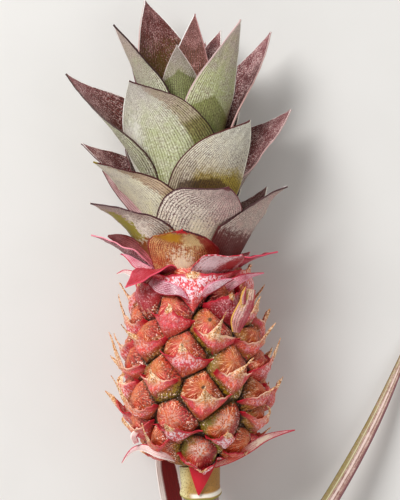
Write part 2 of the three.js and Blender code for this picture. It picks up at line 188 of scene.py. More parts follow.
UNDER_LEAF_COUNT = 12
UNDER_LEAF_SECTOR = 62
UNDER_LEAF_STEP = 3.1
UNDER_LEAF_TURN = 0.618
UNDER_LEAF_WIDTH = 26
UNDER_LEAF_REACH = 29
UNDER_LEAF_TOP = 74

NECK_BRACTS = {
    1: dict(azimuth=26, foot=-1.4, tip=(15.2, 5.4, 21), width=16, lift=45, splay=75, fullness=1.8),
    2: dict(azimuth=-78, foot=1.2, tip=(-29.3, 13.2, 6), width=14, lift=45, splay=75, fullness=1.2),
    3: dict(azimuth=84, foot=0.8, tip=(26.1, 5.8, 4), width=13, lift=50, splay=80, fullness=1.2),
    4: dict(azimuth=-100, foot=0.8, tip=(-21, 7.2, 0), width=11, lift=45, splay=75, fullness=1.2),
    5: dict(azimuth=-38, foot=0.6, tip=(-19.4, -2.6, 18), width=13, lift=50, splay=110, fullness=1.2),
    6: dict(azimuth=132, foot=1, tip=(18, 6, -16), width=13, lift=50, splay=75, fullness=1.2),
    7: dict(azimuth=180, foot=1, tip=(0, 7, -22), width=13, lift=50, splay=75, fullness=1.2),
    8: dict(azimuth=-140, foot=1, tip=(-16, 8, -18), width=13, lift=50, splay=75, fullness=1.2),
}

STEM_LEAVES = {
    "stem_leaf_left": dict(
        azimuth=-150, foot=-112, tip=(-11.5, -49, -17.5), width=7.7, lift=6, splay=10, widest=0.8,
        fullness=2),
    "stem_leaf_right": dict(
        azimuth=165, foot=-114, tip=(71.2, -12, -24), width=5.2, lift=45, lift_azimuth=90, splay=25,
        widest=0.25, fullness=2.6),
}

# What the photograph shows of the fruitlets, in its points: the dome's top, the bract's corners and foot,
# and the spine's tip with its height over the spine's foot in millimetres
SEEN_EYES = {
    9: dict(top=(198, 438), left=(174, 450), right=(234, 454), foot=(203, 468)),
    12: dict(top=(252, 427), left=(226, 447), right=(268, 430), foot=(236, 457)),
    14: dict(top=(150, 427), left=(134, 437), right=(169, 434), foot=(160, 449), spine=(142, 424, 3)),
    17: dict(top=(227, 415), left=(206, 434), right=(249, 433), foot=(232, 453)),
    22: dict(top=(170, 410), left=(152, 424), right=(203, 430), foot=(166, 444)),
    24: dict(spine=(105, 390, 1)),
    27: dict(top=(133, 392), spine=(111, 376, 2)),
    30: dict(top=(203, 384), left=(182, 398), right=(235, 396), foot=(202, 421), spine=(206, 385, 2)),
    33: dict(top=(263, 385), spine=(281, 384, 2)),
    35: dict(top=(157, 367), left=(143, 376), right=(177, 381), foot=(151, 404)),
    38: dict(top=(232, 360), left=(215, 373), right=(253, 374), foot=(235, 401), spine=(254, 358, 4)),
    40: dict(top=(128, 353), spine=(109, 332, 2)),
    41: dict(top=(263, 353), spine=(280, 338, 2)),
    43: dict(top=(183, 341), left=(159, 355), right=(215, 363), foot=(180, 379)),
    46: dict(top=(255, 328), spine=(275, 323, 3)),
    48: dict(top=(143, 327), spine=(121, 324, 2)),
    51: dict(top=(211, 318), left=(194, 331), right=(243, 341), foot=(218, 359), spine=(226, 313, 3)),
    53: dict(spine=(118, 294, 1)),
    54: dict(top=(248, 301)),
    56: dict(top=(172, 303), left=(149, 316), right=(195, 324), foot=(160, 342)),
    58: dict(spine=(118, 283, 1)),
    59: dict(top=(227, 293)),
    61: dict(top=(143, 293)),
    64: dict(top=(194, 274), left=(149, 279), right=(235, 278), foot=(193, 316)),
}

# Loose tips of bracts that the photograph shows: points of the picture, each with its height over the plant's
# middle line and its width, in millimetres
LOOSE_BRACTS = {
    "narrow_leaf": (
        "Narrow leaf",
        [(103, 170, 6, 0.5), (116, 185, 6, 3.2), (130, 201, 7, 4.2), (146, 218, 8, 4.4), (162, 232, 8, 4.0)]),
    # Partly painted shade: this dark sheet stands for a dark bract and for the shade at the crown's neck.
    "neck_shade": (
        "Dark bract",
        [(108, 236, 4, 0.4), (119, 239, 5, 3.2), (130, 245, 6, 5.0), (141, 254, 7, 5.4), (154, 266, 8, 4.0)]),
    "long_spike": (
        "Spiked bract", [
            (214, 466, 4, 1.2), (232, 459, 7, 2.0), (250, 448, 6, 2.6), (264, 438, 4, 2.2),
            (280, 433, 3, 1.2), (295, 430, 2, 0.2)]),
    "curled_tip": (
        "Pale bract", [
            (181, 461, 5, 1.4), (170, 457, 10, 1.9), (158, 454, 11, 2.3), (147, 448, 9, 2.2),
            (138, 447, 6, 1.6), (129, 452, 4, 1.0), (122, 463, 3, 0.2)]),
    "papery_bract": (
        "Papery bract", [
            (236, 332, 17, 2.0), (238, 321, 19, 4.6), (244, 309, 20, 4.4), (248, 299, 20, 3.8),
            (250, 289, 20, 3.2)]),
    "papery_point": (
        "Papery bract",
        [(243, 304, 20.4, 1.2), (243, 298, 21, 1.4), (244, 292, 21, 1.0), (246, 287, 21, 0.3)]),
    "neck_tip_1": (
        "Frosted tip", [
            (203, 296, 18, 1.4), (208, 290, 19, 2.6), (217, 285, 18, 2.6), (226, 281, 16, 1.6),
            (234, 279, 15, 0.2)]),
    "neck_tip_5": (
        "Frosted tip", [
            (151, 281, 13, 2.4), (159, 287, 16, 4.2), (169, 289, 18, 4.0), (179, 291, 20, 2.6),
            (188, 300, 20, 0.3)]),
    "neck_tip_2": (
        "Pink bract", [(226, 287, 14, 3.0), (240, 279, 14, 2.4), (251, 275, 12, 1.3), (264, 273, 11, 0.2)]),
    "neck_tip_3": (
        "Pink bract", [(150, 272, 10, 2.6), (136, 264, 9, 2.4), (128, 257, 8, 1.2), (122, 254, 7, 0.2)]),
    "neck_tip_4": (
        "Pale bract", [(146, 282, 10, 2.4), (133, 274, 9, 1.8), (124, 271, 8, 0.9), (117, 274, 7, 0.2)]),
    "folded_tip": (
        "Pale bract", [(136, 443, 8, 1.6), (133, 436, 9, 1.8), (139, 429, 9, 1.4), (143, 420, 9, 0.2)]),
}


# Sizes and colours that a user may change

def srgb(red, green, blue):
    """A colour of the screen, 0 to 255, as the linear colour that a shader takes."""
    parts = (value / 255 for value in (red, green, blue))
    return tuple(part / 12.92 if part <= 0.04045 else ((part + 0.055) / 1.055) ** 2.4 for part in parts)


def colour_property(name, description, screen_colour):
    """A colour of the sidebar, given as it is seen on the screen."""
    return FloatVectorProperty(
        name=name, description=description, subtype="COLOR", size=3, min=0.0, max=1.0,
        default=srgb(*screen_colour))


class PineappleSizes(PropertyGroup):
    """Measures of the plant's finer shapes."""
    blade_thickness: FloatProperty(
        name="Blade thickness", description="Thickness of a crown leaf along its rib",
        default=BLADE_THICKNESS * MM, min=0.0005, max=0.002, precision=4, unit="LENGTH")
    blade_ripple: FloatProperty(
        name="Blade ripple", description="How far a leaf's margins wave in and out",
        default=BLADE_RIPPLE * MM, min=0.0, max=0.001, precision=4, unit="LENGTH")
    blade_steps: IntProperty(
        name="Blade steps", description="Faces along a leaf", default=44, min=12, max=80)
    bract_thickness: FloatProperty(
        name="Bract thickness", description="Thickness of a fruitlet's bract",
        default=FRUIT_BRACT_THICKNESS * MM, min=0.0002, max=0.001, precision=5, unit="LENGTH")
    eye_relief: FloatProperty(
        name="Fruitlet relief", description="Height of a fruitlet's dome over the groove round it",
        default=EYE_DEPTH * MM, min=0.001, max=0.005, precision=4, unit="LENGTH")
    spine_length: FloatProperty(
        name="Spine length", description="Length of the spine on a fruitlet's bract",
        default=SPINE_LENGTH * MM, min=0.001, max=0.01, precision=4, unit="LENGTH")


class PineappleColours(PropertyGroup):
    """The plant's colours."""
    leaf_green: colour_property("Leaf green", "Foot of a crown leaf, outside", (150, 168, 92))
    crimson: colour_property("Crimson", "Margins of the bracts", (196, 26, 62))
    rind: colour_property("Rind", "Dome of a fruitlet", (208, 88, 60))
    bract_pink: colour_property("Bract pink", "Face of a fruitlet's bract", (220, 86, 100))
    frost: colour_property("Frost", "White bloom on the bracts", (244, 218, 224))
    spine_tan: colour_property("Spine tan", "Dry spine of a bract", (216, 160, 104))
    # The grooves' dark brown is scurf and partly painted shade.
    groove: colour_property("Groove", "Between the fruitlets", (66, 34, 16))
    stem_mauve: colour_property("Stem mauve", "Skin of the stem", (150, 112, 118))
    sheath_green: colour_property("Sheath green", "Leaf base round the stem", (180, 144, 72))
    floor: colour_property("Floor", "The table", (226, 224, 220))


def sizes():
    return bpy.context.scene.pineapple_sizes


def paint(name):
    """A colour of the sidebar, as a shader takes it."""
    return tuple(getattr(bpy.context.scene.pineapple_colours, name))


# Places

def to_part(points):
    """Points of the plant's own axes, in millimetres, as points of the part in metres."""
    return FOOT + (np.asarray(points, float) * MM) @ AXES


def outward_at(azimuth):
    return np.stack([np.sin(azimuth), np.zeros_like(azimuth), np.cos(azimuth)], -1)


def around_at(azimuth):
    return np.stack([np.cos(azimuth), np.zeros_like(azimuth), -np.sin(azimuth)], -1)


def unit(vectors):
    return vectors / np.maximum(np.linalg.norm(vectors, axis=-1, keepdims=True), 1e-12)


def smooth_step(low, high, value):
    share = np.clip((value - low) / (high - low), 0, 1)
    return share * share * (3 - 2 * share)


def bent_along_table(height):
    """What would go below the table bends along it, in the same order."""
    over = height + MIDDLE_HEIGHT
    level = TABLE_CLEARANCE + TABLE_BEND
    bent = TABLE_CLEARANCE + TABLE_BEND * np.exp(np.minimum(over - level, 0) / TABLE_BEND) - MIDDLE_HEIGHT
    return np.where(over >= level, height, bent)


def crown_radius(height):
    share = min(max(height / CORE_HEIGHT, 0), 1)
    return CORE_FOOT_RADIUS + (CORE_TIP_RADIUS - CORE_FOOT_RADIUS) * share


def barrel_radius(height):
    """Radius of the fruit's outline at a height along its middle line."""
    height = np.asarray(height, float)
    over = np.clip((height - FRUIT_WIDEST) / -FRUIT_WIDEST, 0, 1)
    under = np.clip((FRUIT_WIDEST - height) / (FRUIT_WIDEST - FRUIT_BOTTOM + 1), 0, 1)
    upper = FRUIT_RADIUS - (FRUIT_RADIUS - FRUIT_SHOULDER) * over ** 2
    lower = FRUIT_RADIUS * np.sqrt(np.maximum(1 - under ** FRUIT_NARROWING, 0.02))
    return np.where(height > FRUIT_WIDEST, upper, lower)


def waves(points, pitch, seed):
    """Soft noise from a few sine waves in fixed directions, between -1 and 1, for points in millimetres."""
    chance = np.random.default_rng(seed)
    total = np.zeros(len(points))
    for _ in range(6):
        direction = unit(chance.normal(size=3)) * (2 * math.pi / pitch) * chance.uniform(0.6, 1.6)
        total += np.sin(points @ direction + chance.uniform(0, 2 * math.pi))
    return total / 4


def wrinkles(points, kinds, index):
    """Waves of several depths and pitches, with a seed for each kind and each piece."""
    return sum(depth * waves(points, pitch, seed + index) for depth, pitch, seed in kinds)


# Mesh building

def deselect():
    if bpy.context.object and bpy.context.object.mode != "OBJECT":
        bpy.ops.object.mode_set(mode="OBJECT")
    bpy.ops.object.select_all(action="DESELECT")


def coordinates(piece):
    found = np.empty(len(piece.data.vertices) * 3, np.float32)
    piece.data.vertices.foreach_get("co", found)
    return found.reshape(-1, 3).astype(float)


def set_coordinates(piece, points):
    piece.data.vertices.foreach_set("co", np.asarray(points, np.float32).ravel())
    piece.data.update()


def new_grid(name, columns, rows, uv_name):
    """A square grid, two across, with its own corners from -1 to 1, and a UV map."""
    deselect()
    bpy.ops.mesh.primitive_grid_add(x_subdivisions=columns, y_subdivisions=rows, size=2, calc_uvs=True)
    piece = bpy.context.object
    piece.name = name
    piece.data.name = name
    piece.data.uv_layers[0].name = uv_name
    return piece


def give_materials(piece, *materials):
    for material in materials:
        piece.data.materials.append(material)


def set_uv(piece, name, values):
    """Gives each corner the two values of its vertex."""
    layer = piece.data.uv_layers[name]
    index = np.empty(len(piece.data.loops), np.int32)
    piece.data.loops.foreach_get("vertex_index", index)
    layer.data.foreach_set("uv", np.asarray(values, np.float32)[index].ravel())


def set_measure(piece, name, value):
    """One number for the whole piece, or one for each of its vertices, that its materials read."""
    attribute = piece.data.attributes.get(name) or piece.data.attributes.new(name, "FLOAT", "POINT")
    values = np.broadcast_to(np.asarray(value, np.float32), (len(piece.data.vertices),))
    attribute.data.foreach_set("value", np.ascontiguousarray(values))


def thicken(piece, thickness, shares):
    """Gives a surface its thickness, half to each side, with the inner face in the second material."""
    group = piece.vertex_groups.new(name="thickness")
    for index, share in enumerate(shares):
        group.add([index], float(share), "REPLACE")
    wall = piece.modifiers.new("wall", "SOLIDIFY")
    wall.thickness = thickness
    wall.offset = 0.0
    wall.vertex_group = "thickness"
    wall.material_offset = 1
    wall.material_offset_rim = 0
    bpy.context.view_layer.objects.active = piece
    bpy.ops.object.modifier_apply(modifier=wall.name)
    piece.vertex_groups.clear()


def finish_piece(piece, node=None, sharp=50):
    """Smooths a piece's shading, puts it on the body and hides the CAD part that it stands for."""
    deselect()
    piece.select_set(True)
    bpy.context.view_layer.objects.active = piece
    bpy.ops.object.shade_smooth_by_angle(angle=math.radians(sharp))
    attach(piece, UNTURNED_BODY)
    if node:
        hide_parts(node)
    return piece


def joined(pieces, name):
    deselect()
    for piece in pieces:
        piece.select_set(True)
    bpy.context.view_layer.objects.active = pieces[0]
    bpy.ops.object.join()
    pieces[0].name = name
    pieces[0].data.name = name
    return pieces[0]


# Blades

# Places in the bake's picture, as shares of it
BAKE_MARGIN = 0.02
BAKE_WIDTH = 0.45
BAKE_HEIGHT = 0.96
BAKE_INNER_SHIFT = 0.51
BAKE_RIM = 0.012


def width_share(along, widest, fullness):
    rise = 0.85 + 0.15 * np.sin(np.clip(along / widest, 0, 1) * math.pi / 2)
    fall = 1 - np.clip((along - widest) / (1 - widest), 0, 1) ** fullness
    return np.where(along < widest, rise, fall)


def half_width(leaf, along):
    share = width_share(along, leaf.get("widest", BLADE_WIDEST), leaf.get("fullness", BLADE_FULLNESS))
    return np.maximum(leaf["width"] / 2 * share, TIP_WIDTH / 2)


def blade_points(leaf, seat_radius, across, along, ripple, seed):
    """The middle surface of a blade, for places across it from -1 to 1 and along it from 0 to 1."""
    azimuth = math.radians(leaf["azimuth"])
    outward = outward_at(np.float64(azimuth))
    around = around_at(np.float64(azimuth))
    foot_radius = seat_radius + BLADE_CLEARANCE + BLADE_THICKNESS / 2
    foot = outward * foot_radius + MIDDLE_LINE * leaf["foot"]
    tip = np.array(leaf["tip"], float)
    tip_outward = unit(tip * np.array([1.0, 0.0, 1.0]))
    chord = np.linalg.norm(tip - foot)
    lift = math.radians(leaf["lift"])
    splay = math.radians(leaf["splay"])
    lifted_to = outward_at(np.float64(math.radians(leaf.get("lift_azimuth", leaf["azimuth"]))))
    low = foot + (MIDDLE_LINE * math.cos(lift) + lifted_to * math.sin(lift)) * FOOT_PULL * chord
    high = tip - (MIDDLE_LINE * math.cos(splay) + tip_outward * math.sin(splay)) * TIP_PULL * chord
    share = along[:, None]
    left = 1 - share
    rib = left ** 3 * foot + 3 * left ** 2 * share * low + 3 * left * share ** 2 * high + share ** 3 * tip
    tangent = unit(left ** 2 * (low - foot) + 2 * left * share * (high - low) + share ** 2 * (tip - high))
    side = unit(around - tangent * (tangent @ around)[:, None])
    out = np.cross(side, tangent)
    curve = foot_radius * (1 + leaf.get("opening", BLADE_OPENING) * along)
    half = half_width(leaf, along)
    turn = across * half / curve
    chance = np.random.default_rng(seed)
    phases = chance.uniform(0, 2 * math.pi, 3)
    rates = chance.uniform(1.2, 2.6, 2) * 2 * math.pi
    lifted = np.sin(rates[0] * along + phases[0] + across)
    lifted += 0.6 * np.sin(rates[1] * 1.7 * along + phases[1] - across)
    lifted *= ripple * np.abs(across) ** 3 * np.sin(math.pi * np.clip(along * 1.05, 0, 1))
    groove_phase = across * half * 2 * math.pi / BLADE_GROOVE_PITCH
    grooves = -BLADE_GROOVE_DEPTH * np.cos(groove_phase) * np.clip(half / 4, 0, 1)
    points = rib + side * (curve * np.sin(turn))[:, None]
    points = points + out * (curve * (np.cos(turn) - 1) + lifted + grooves)[:, None]
    points[:, 2] = bent_along_table(points[:, 2])
    return points


def add_blade(node, leaf, seat_radius, outer, inner, seed, columns=20, rows=None):
    """One leaf: a grid shaped by the blade's rule, thick along its rib and thin at its margins."""
    piece = new_grid(node + "_blade", columns, rows or sizes().blade_steps, "Blade")
    flat = coordinates(piece)
    across = flat[:, 0]
    along = (flat[:, 1] + 1) / 2
    ripple = sizes().blade_ripple / MM
    points = blade_points(leaf, seat_radius, across, along, ripple, seed)
    set_coordinates(piece, to_part(points))
    set_measure(piece, "half", half_width(leaf, along))
    give_materials(piece, outer, inner)
    shares = (1 - 0.5 * across ** 2) * (1 - 0.4 * along) * leaf.get("thin", 1.0)
    thicken(piece, sizes().blade_thickness, shares)
    set_bake_uv(piece, len(flat))
    return finish_piece(piece, node)


def set_bake_uv(piece, outer_count):
    """The outer face takes the left half of the bake's picture, the inner face its right half.

    The rim lies along the borders of the outer face's half.
    """
    mesh = piece.data
    blade = np.empty(len(mesh.loops) * 2, np.float32)
    mesh.uv_layers["Blade"].data.foreach_get("uv", blade)
    blade = blade.reshape(-1, 2)
    vertex = np.empty(len(mesh.loops), np.int32)
    mesh.loops.foreach_get("vertex_index", vertex)
    counts = np.empty(len(mesh.polygons), np.int32)
    mesh.polygons.foreach_get("loop_total", counts)
    material = np.empty(len(mesh.polygons), np.int32)
    mesh.polygons.foreach_get("material_index", material)
    face = np.repeat(np.arange(len(counts)), counts)
    shell = vertex >= outer_count
    on_shell = np.bincount(face, shell, len(counts))
    rim = (on_shell > 0) & (on_shell < counts)
    is_inner = material[face] == 1
    is_rim = rim[face]
    baked = np.empty_like(blade)
    baked[:, 0] = BAKE_MARGIN + BAKE_WIDTH * blade[:, 0] + np.where(is_inner & ~is_rim, BAKE_INNER_SHIFT, 0)
    baked[:, 1] = BAKE_MARGIN + BAKE_HEIGHT * blade[:, 1]
    push = np.where(is_rim & shell, BAKE_RIM, 0)
    for axis in (0, 1):
        from_middle = blade[:, axis] - 0.5
        baked[:, axis] += push * np.sign(from_middle) * (np.abs(from_middle) > 0.499)
    layer = mesh.uv_layers.new(name="OFBake")
    layer.data.foreach_set("uv", baked.ravel())


# Shader nodes

class Tree:
    """Adds nodes to one node tree, each from its values or from the sockets that feed it."""

    def __init__(self, tree):
        self.tree = tree

    def feed(self, socket, value):
        if isinstance(value, bpy.types.NodeSocket):
            self.tree.links.new(value, socket)
        elif socket.type == "RGBA":
            socket.default_value = (*value, 1.0)
        else:
            socket.default_value = value

    def node(self, kind, **values):
        made = self.tree.nodes.new("ShaderNode" + kind)
        for key, value in values.items():
            self.feed(made.inputs[key], value)
        return made

    def math(self, operation, first, second=0.5):
        made = self.node("Math")
        made.operation = operation
        self.feed(made.inputs[0], first)
        self.feed(made.inputs[1], second)
        return made.outputs[0]

    def times(self, first, second):
        return self.math("MULTIPLY", first, second)

    def plus(self, first, second):
        return self.math("ADD", first, second)

    def minus(self, first, second):
        return self.math("SUBTRACT", first, second)

    def swing(self, value, width):
        """A value round a half as one round nought, times a width."""
        return self.times(self.minus(value, 0.5), width)

    def step(self, value, low, high, to_low=0.0, to_high=1.0):
        made = self.node("MapRange")
        made.interpolation_type = "SMOOTHSTEP"
        for socket, given in zip(made.inputs[:5], (value, low, high, to_low, to_high)):
            self.feed(socket, given)
        return made.outputs[0]

    def mix(self, factor, first, second, blend="MIX"):
        made = self.node("Mix")
        made.data_type = "RGBA"
        made.blend_type = blend
        for place, given in ((0, factor), (6, first), (7, second)):
            self.feed(made.inputs[place], given)
        return made.outputs[2]

    def noise(self, vector, scale, detail=2.0, roughness=0.5):
        made = self.node("TexNoise", Vector=vector, Scale=scale, Detail=detail, Roughness=roughness)
        return made.outputs[0]

    def cells(self, vector, scale):
        return self.node("TexVoronoi", Vector=vector, Scale=scale).outputs["Distance"]

    def vector(self, x, y, z=0.0):
        return self.node("CombineXYZ", X=x, Y=y, Z=z).outputs[0]

    def parts(self, vector):
        return self.node("SeparateXYZ", Vector=vector).outputs

    def vivid(self, colour, contrast):
        """Darker darks and lighter lights."""
        curve = self.node("Gamma", Color=colour, Gamma=contrast)
        lift = 1 + 0.8 * (contrast - 1)
        return self.node("HueSaturation", Color=curve.outputs[0], Saturation=1.0, Value=lift).outputs[0]

    def place(self):
        """The object's own coordinates."""
        return self.node("TexCoord").outputs["Object"]

    def uv(self, name):
        """The two values of a UV map."""
        made = self.node("UVMap")
        made.uv_map = name
        return self.parts(made.outputs[0])[:2]

    def measure(self, name):
        made = self.node("Attribute")
        made.attribute_name = name
        return made.outputs["Fac"]

    def group(self, name, **values):
        made = self.node("Group")
        made.node_tree = bpy.data.node_groups[name]
        for key, value in values.items():
            self.feed(made.inputs[key.replace("_", " ")], value)
        return made.outputs


def new_group(name, colours, numbers, outputs):
    """A shader node group with its sockets, ready for its nodes. Returns its tree, inputs and output node."""
    made = bpy.data.node_groups.new(name, "ShaderNodeTree")
    for kind, labels in (("Color", colours), ("Float", numbers)):
        for label in labels:
            made.interface.new_socket(label, in_out="INPUT", socket_type="NodeSocket" + kind)
    for label, kind in outputs.items():
        made.interface.new_socket(label, in_out="OUTPUT", socket_type="NodeSocket" + kind)
    given = made.nodes.new("NodeGroupInput").outputs
    result = made.nodes.new("NodeGroupOutput").inputs
    return Tree(made), given, result


def new_material(name, base, roughness, bump=0.4, depth=0.0003):
    """A material whose colour and relief are made by a function from its tree."""
    made = bpy.data.materials.new(name)
    made.use_nodes = True
    made.node_tree.nodes.clear()
    tree = Tree(made.node_tree)
    shader = tree.node("BsdfPrincipled", Roughness=roughness)
    tree.node("OutputMaterial", Surface=shader.outputs[0])
    found = base(tree)
    tree.feed(shader.inputs["Base Color"], found["colour"])
    if "height" in found:
        relief = tree.node("Bump", Strength=bump, Distance=depth, Height=found["height"])
        tree.feed(shader.inputs["Normal"], relief.outputs[0])
    return made


# Sockets of the leaf skin, and what the looks call their values
BLADE_COLOURS = {
    "Foot": "foot",
    "Middle": "middle",
    "Tip": "tip",
    "Line": "line",
    "Bloom": "bloom",
    "Fleck": "fleck",
    "Left margin": "left",
    "Right margin": "right",
}
BLADE_NUMBERS = {
    "Turning place": "turn",
    "Lines": "lines",
    "Line strength": "strength",
    "Lines inside": "inside",
    "Bloom amount": "bloomed",
    "Fleck amount": "flecked",
    "Left width": "left_width",
    "Right width": "right_width",
    "Mottle": "mottle",
}


def make_blade_group():
    """Leaf skin: three colours along the blade, fine lines along it, bloom, flecks and coloured margins."""
    tree, given, result = new_group(
        "Leaf skin", BLADE_COLOURS, ("Across", "Along", "Half", *BLADE_NUMBERS),
        dict(Colour="Color", Height="Float"))
    across = given["Across"]
    along = given["Along"]
    place = tree.place()
    edge = tree.math("ABSOLUTE", tree.minus(tree.times(across, 2.0), 1.0))
    from_margin = tree.times(tree.minus(1.0, edge), given["Half"])

    # Streaks and grains that run with the blade
    streak = tree.noise(tree.vector(tree.times(across, 55.0), tree.times(along, 5.0)), 1.0, 3.0, 0.6)
    broken = tree.noise(tree.vector(tree.times(across, 30.0), tree.times(along, 22.0), 3.0), 1.0)
    grain = tree.noise(tree.vector(tree.times(across, 62.0), tree.times(along, 74.0), 7.0), 1.0, 2.0, 0.6)
    dots = tree.noise(tree.vector(tree.times(across, 36.0), tree.times(along, 52.0), 17.0), 1.0, 1.0)
    mottle = tree.noise(place, 260.0, 3.0, 0.6)
    fine = tree.noise(place, 2600.0, 2.0, 0.6)

    # Colours along the blade, with a wandering border between them
    wander = tree.swing(streak, 0.35)
    drift = tree.swing(mottle, 0.5)
    shifted = tree.plus(along, tree.plus(wander, drift))
    lower = tree.step(shifted, 0.0, given["Turning place"])
    upper = tree.step(shifted, given["Turning place"], 1.0)
    colour = tree.mix(lower, given["Foot"], given["Middle"])
    colour = tree.mix(upper, colour, given["Tip"])

    # Silvery bloom in soft clouds, and uneven darker streaks
    cloud = tree.plus(tree.times(tree.step(mottle, 0.36, 0.64), 0.7), 0.3)
    colour = tree.mix(tree.times(cloud, given["Bloom amount"]), colour, given["Bloom"])
    dark = tree.mix(1.0, colour, (0.46, 0.4, 0.36), "MULTIPLY")
    uneven = tree.times(tree.step(streak, 0.62, 0.3), given["Mottle"])
    colour = tree.mix(uneven, colour, dark)

    # Fine lines with pale ridges between them, stronger towards the margins
    sway = tree.swing(mottle, 0.5)
    phase = tree.math("FRACT", tree.plus(tree.times(across, given["Lines"]), sway))
    from_line = tree.math("ABSOLUTE", tree.minus(phase, 0.5))
    line = tree.step(from_line, 0.24, 0.1)
    outside = tree.times(tree.step(edge, 0.1, 0.85), tree.minus(1.0, given["Lines inside"]))
    weight = tree.plus(given["Lines inside"], outside)
    weight = tree.times(weight, tree.step(broken, 0.3, 0.62, 0.3, 1.0))
    ridge = tree.times(tree.step(from_line, 0.3, 0.42), weight)
    line = tree.times(line, weight)
    colour = tree.mix(tree.times(ridge, 0.4), colour, given["Bloom"])
    colour = tree.mix(tree.times(line, given["Line strength"]), colour, given["Line"])

    # Scurf in fine grains
    crowd = tree.times(tree.minus(tree.plus(streak, mottle), 1.0), 0.35)
    speck = tree.step(tree.plus(grain, crowd), 0.53, 0.62)
    colour = tree.mix(tree.times(speck, given["Fleck amount"]), colour, given["Fleck"])
    colour = tree.mix(tree.times(tree.step(grain, 0.44, 0.36), 0.45), colour, given["Bloom"])
    colour = tree.mix(tree.times(tree.step(dots, 0.68, 0.76), 0.8), colour, given["Line"])

    # Margins, a little ragged
    ragged = tree.plus(from_margin, tree.swing(fine, 0.35))
    on_right = tree.step(across, 0.49, 0.51)
    wider = tree.minus(given["Right width"], given["Left width"])
    width = tree.plus(given["Left width"], tree.times(on_right, wider))
    margin = tree.step(ragged, width, tree.times(width, 0.55))
    colour = tree.mix(margin, colour, tree.mix(on_right, given["Left margin"], given["Right margin"]))
    height = tree.minus(tree.times(streak, 0.4), tree.times(line, 0.5))
    height = tree.plus(height, tree.times(grain, 0.4))
    tree.feed(result["Colour"], colour)
    tree.feed(result["Height"], height)


def make_patch_group():
    """A patch of another colour on a blade, under a roof, that covers its skin or, as a tint, darkens it.
    Tints under a sharp roof are painted shade, where a leaf lies over this one.
    """
    numbers = (
        "Across", "Along", "At across", "Top along", "Width", "Length", "Pitch", "Amount", "Ragged",
        "Border", "Tint")
    tree, given, result = new_group("Patch", ("Colour", "Patch"), numbers, dict(Colour="Color"))
    rough = tree.noise(tree.place(), 900.0, 3.0, 0.7)
    x = tree.math("ABSOLUTE", tree.minus(given["Across"], given["At across"]))
    below = tree.minus(given["Top along"], given["Along"])
    below = tree.minus(below, tree.times(x, given["Pitch"]))
    halfway = tree.times(given["Length"], 0.5)
    y = tree.math("ABSOLUTE", tree.minus(below, halfway))
    away = tree.math("MAXIMUM", tree.math("DIVIDE", x, given["Width"]), tree.math("DIVIDE", y, halfway))
    away = tree.plus(away, tree.swing(rough, given["Ragged"]))
    mask = tree.step(away, tree.minus(1.0, given["Border"]), 1.0, 1.0, 0.0)
    mask = tree.times(mask, given["Amount"])
    tinted = tree.mix(1.0, given["Colour"], given["Patch"], "MULTIPLY")
    laid = tree.mix(given["Tint"], given["Patch"], tinted)
    tree.feed(result["Colour"], tree.mix(mask, given["Colour"], laid))


def make_scurf_and_shade_group():
    """Dark scurf with white specks, for grooves and shaded rims, over a mask; in the grooves its dark is
    partly painted shade.
    """
    tree, given, result = new_group(
        "Scurf", ("Colour", "Dark"), ("Mask",), dict(Colour="Color", Height="Float"))
    place = tree.place()
    fine = tree.noise(place, 2000.0, 2.0, 0.7)
    speck = tree.step(tree.cells(place, 1500.0), 0.34, 0.18)
    chosen = tree.step(tree.noise(place, 900.0, 1.0), 0.46, 0.6)
    colour = tree.mix(given["Mask"], given["Colour"], given["Dark"])
    white = tree.times(tree.times(speck, chosen), given["Mask"])
    colour = tree.mix(white, colour, (0.62, 0.52, 0.46))
    tree.feed(result["Colour"], colour)
    tree.feed(result["Height"], tree.times(tree.plus(fine, speck), 0.5))


# Looks of leaves and bracts: colours as on the screen, widths of margins in millimetres, the rest as shares

def patch(colour, top, size, ragged=0.4, border=0.35, amount=1.0, pitch=0.0, tint=0.0):
    """A patch on a blade: where its top lies across and along the blade, its half width and its length."""
    return dict(
        Patch=srgb(*colour), At_across=top[0], Top_along=top[1], Width=size[0], Length=size[1], Pitch=pitch,
        Amount=amount, Ragged=ragged, Border=border, Tint=tint)


BLADE_DEFAULTS = dict(
    foot=(156, 166, 92), middle=(192, 194, 156), tip=(194, 178, 166), line=(70, 40, 38),
    bloom=(236, 234, 220), fleck=(104, 66, 66), left=(232, 228, 218), right=(96, 38, 42), turn=0.42,
    lines=24, strength=0.85, inside=0.5, bloomed=0.4, flecked=0.5, left_width=0.5, right_width=0.45,
    mottle=0.6, patches=[])

PLAIN = dict(
    foot=(140, 132, 90), middle=(166, 148, 138), tip=(176, 142, 140), left=(196, 160, 154),
    right=(196, 160, 154))

# Inside of the leaves: the dark olive foot is partly the leaf base's colour, partly painted shade deep
# between the leaves; the inner looks below keep such feet.
MAROON = dict(
    foot=(88, 66, 8), middle=(92, 26, 26), tip=(140, 48, 52), line=(46, 8, 10), bloom=(156, 74, 78),
    fleck=(236, 212, 208), left=(252, 248, 244), right=(252, 248, 244), turn=0.62, lines=16, strength=0.7,
    inside=0.8, bloomed=0.12, flecked=0.85, left_width=0.28, right_width=0.34, mottle=0.8)

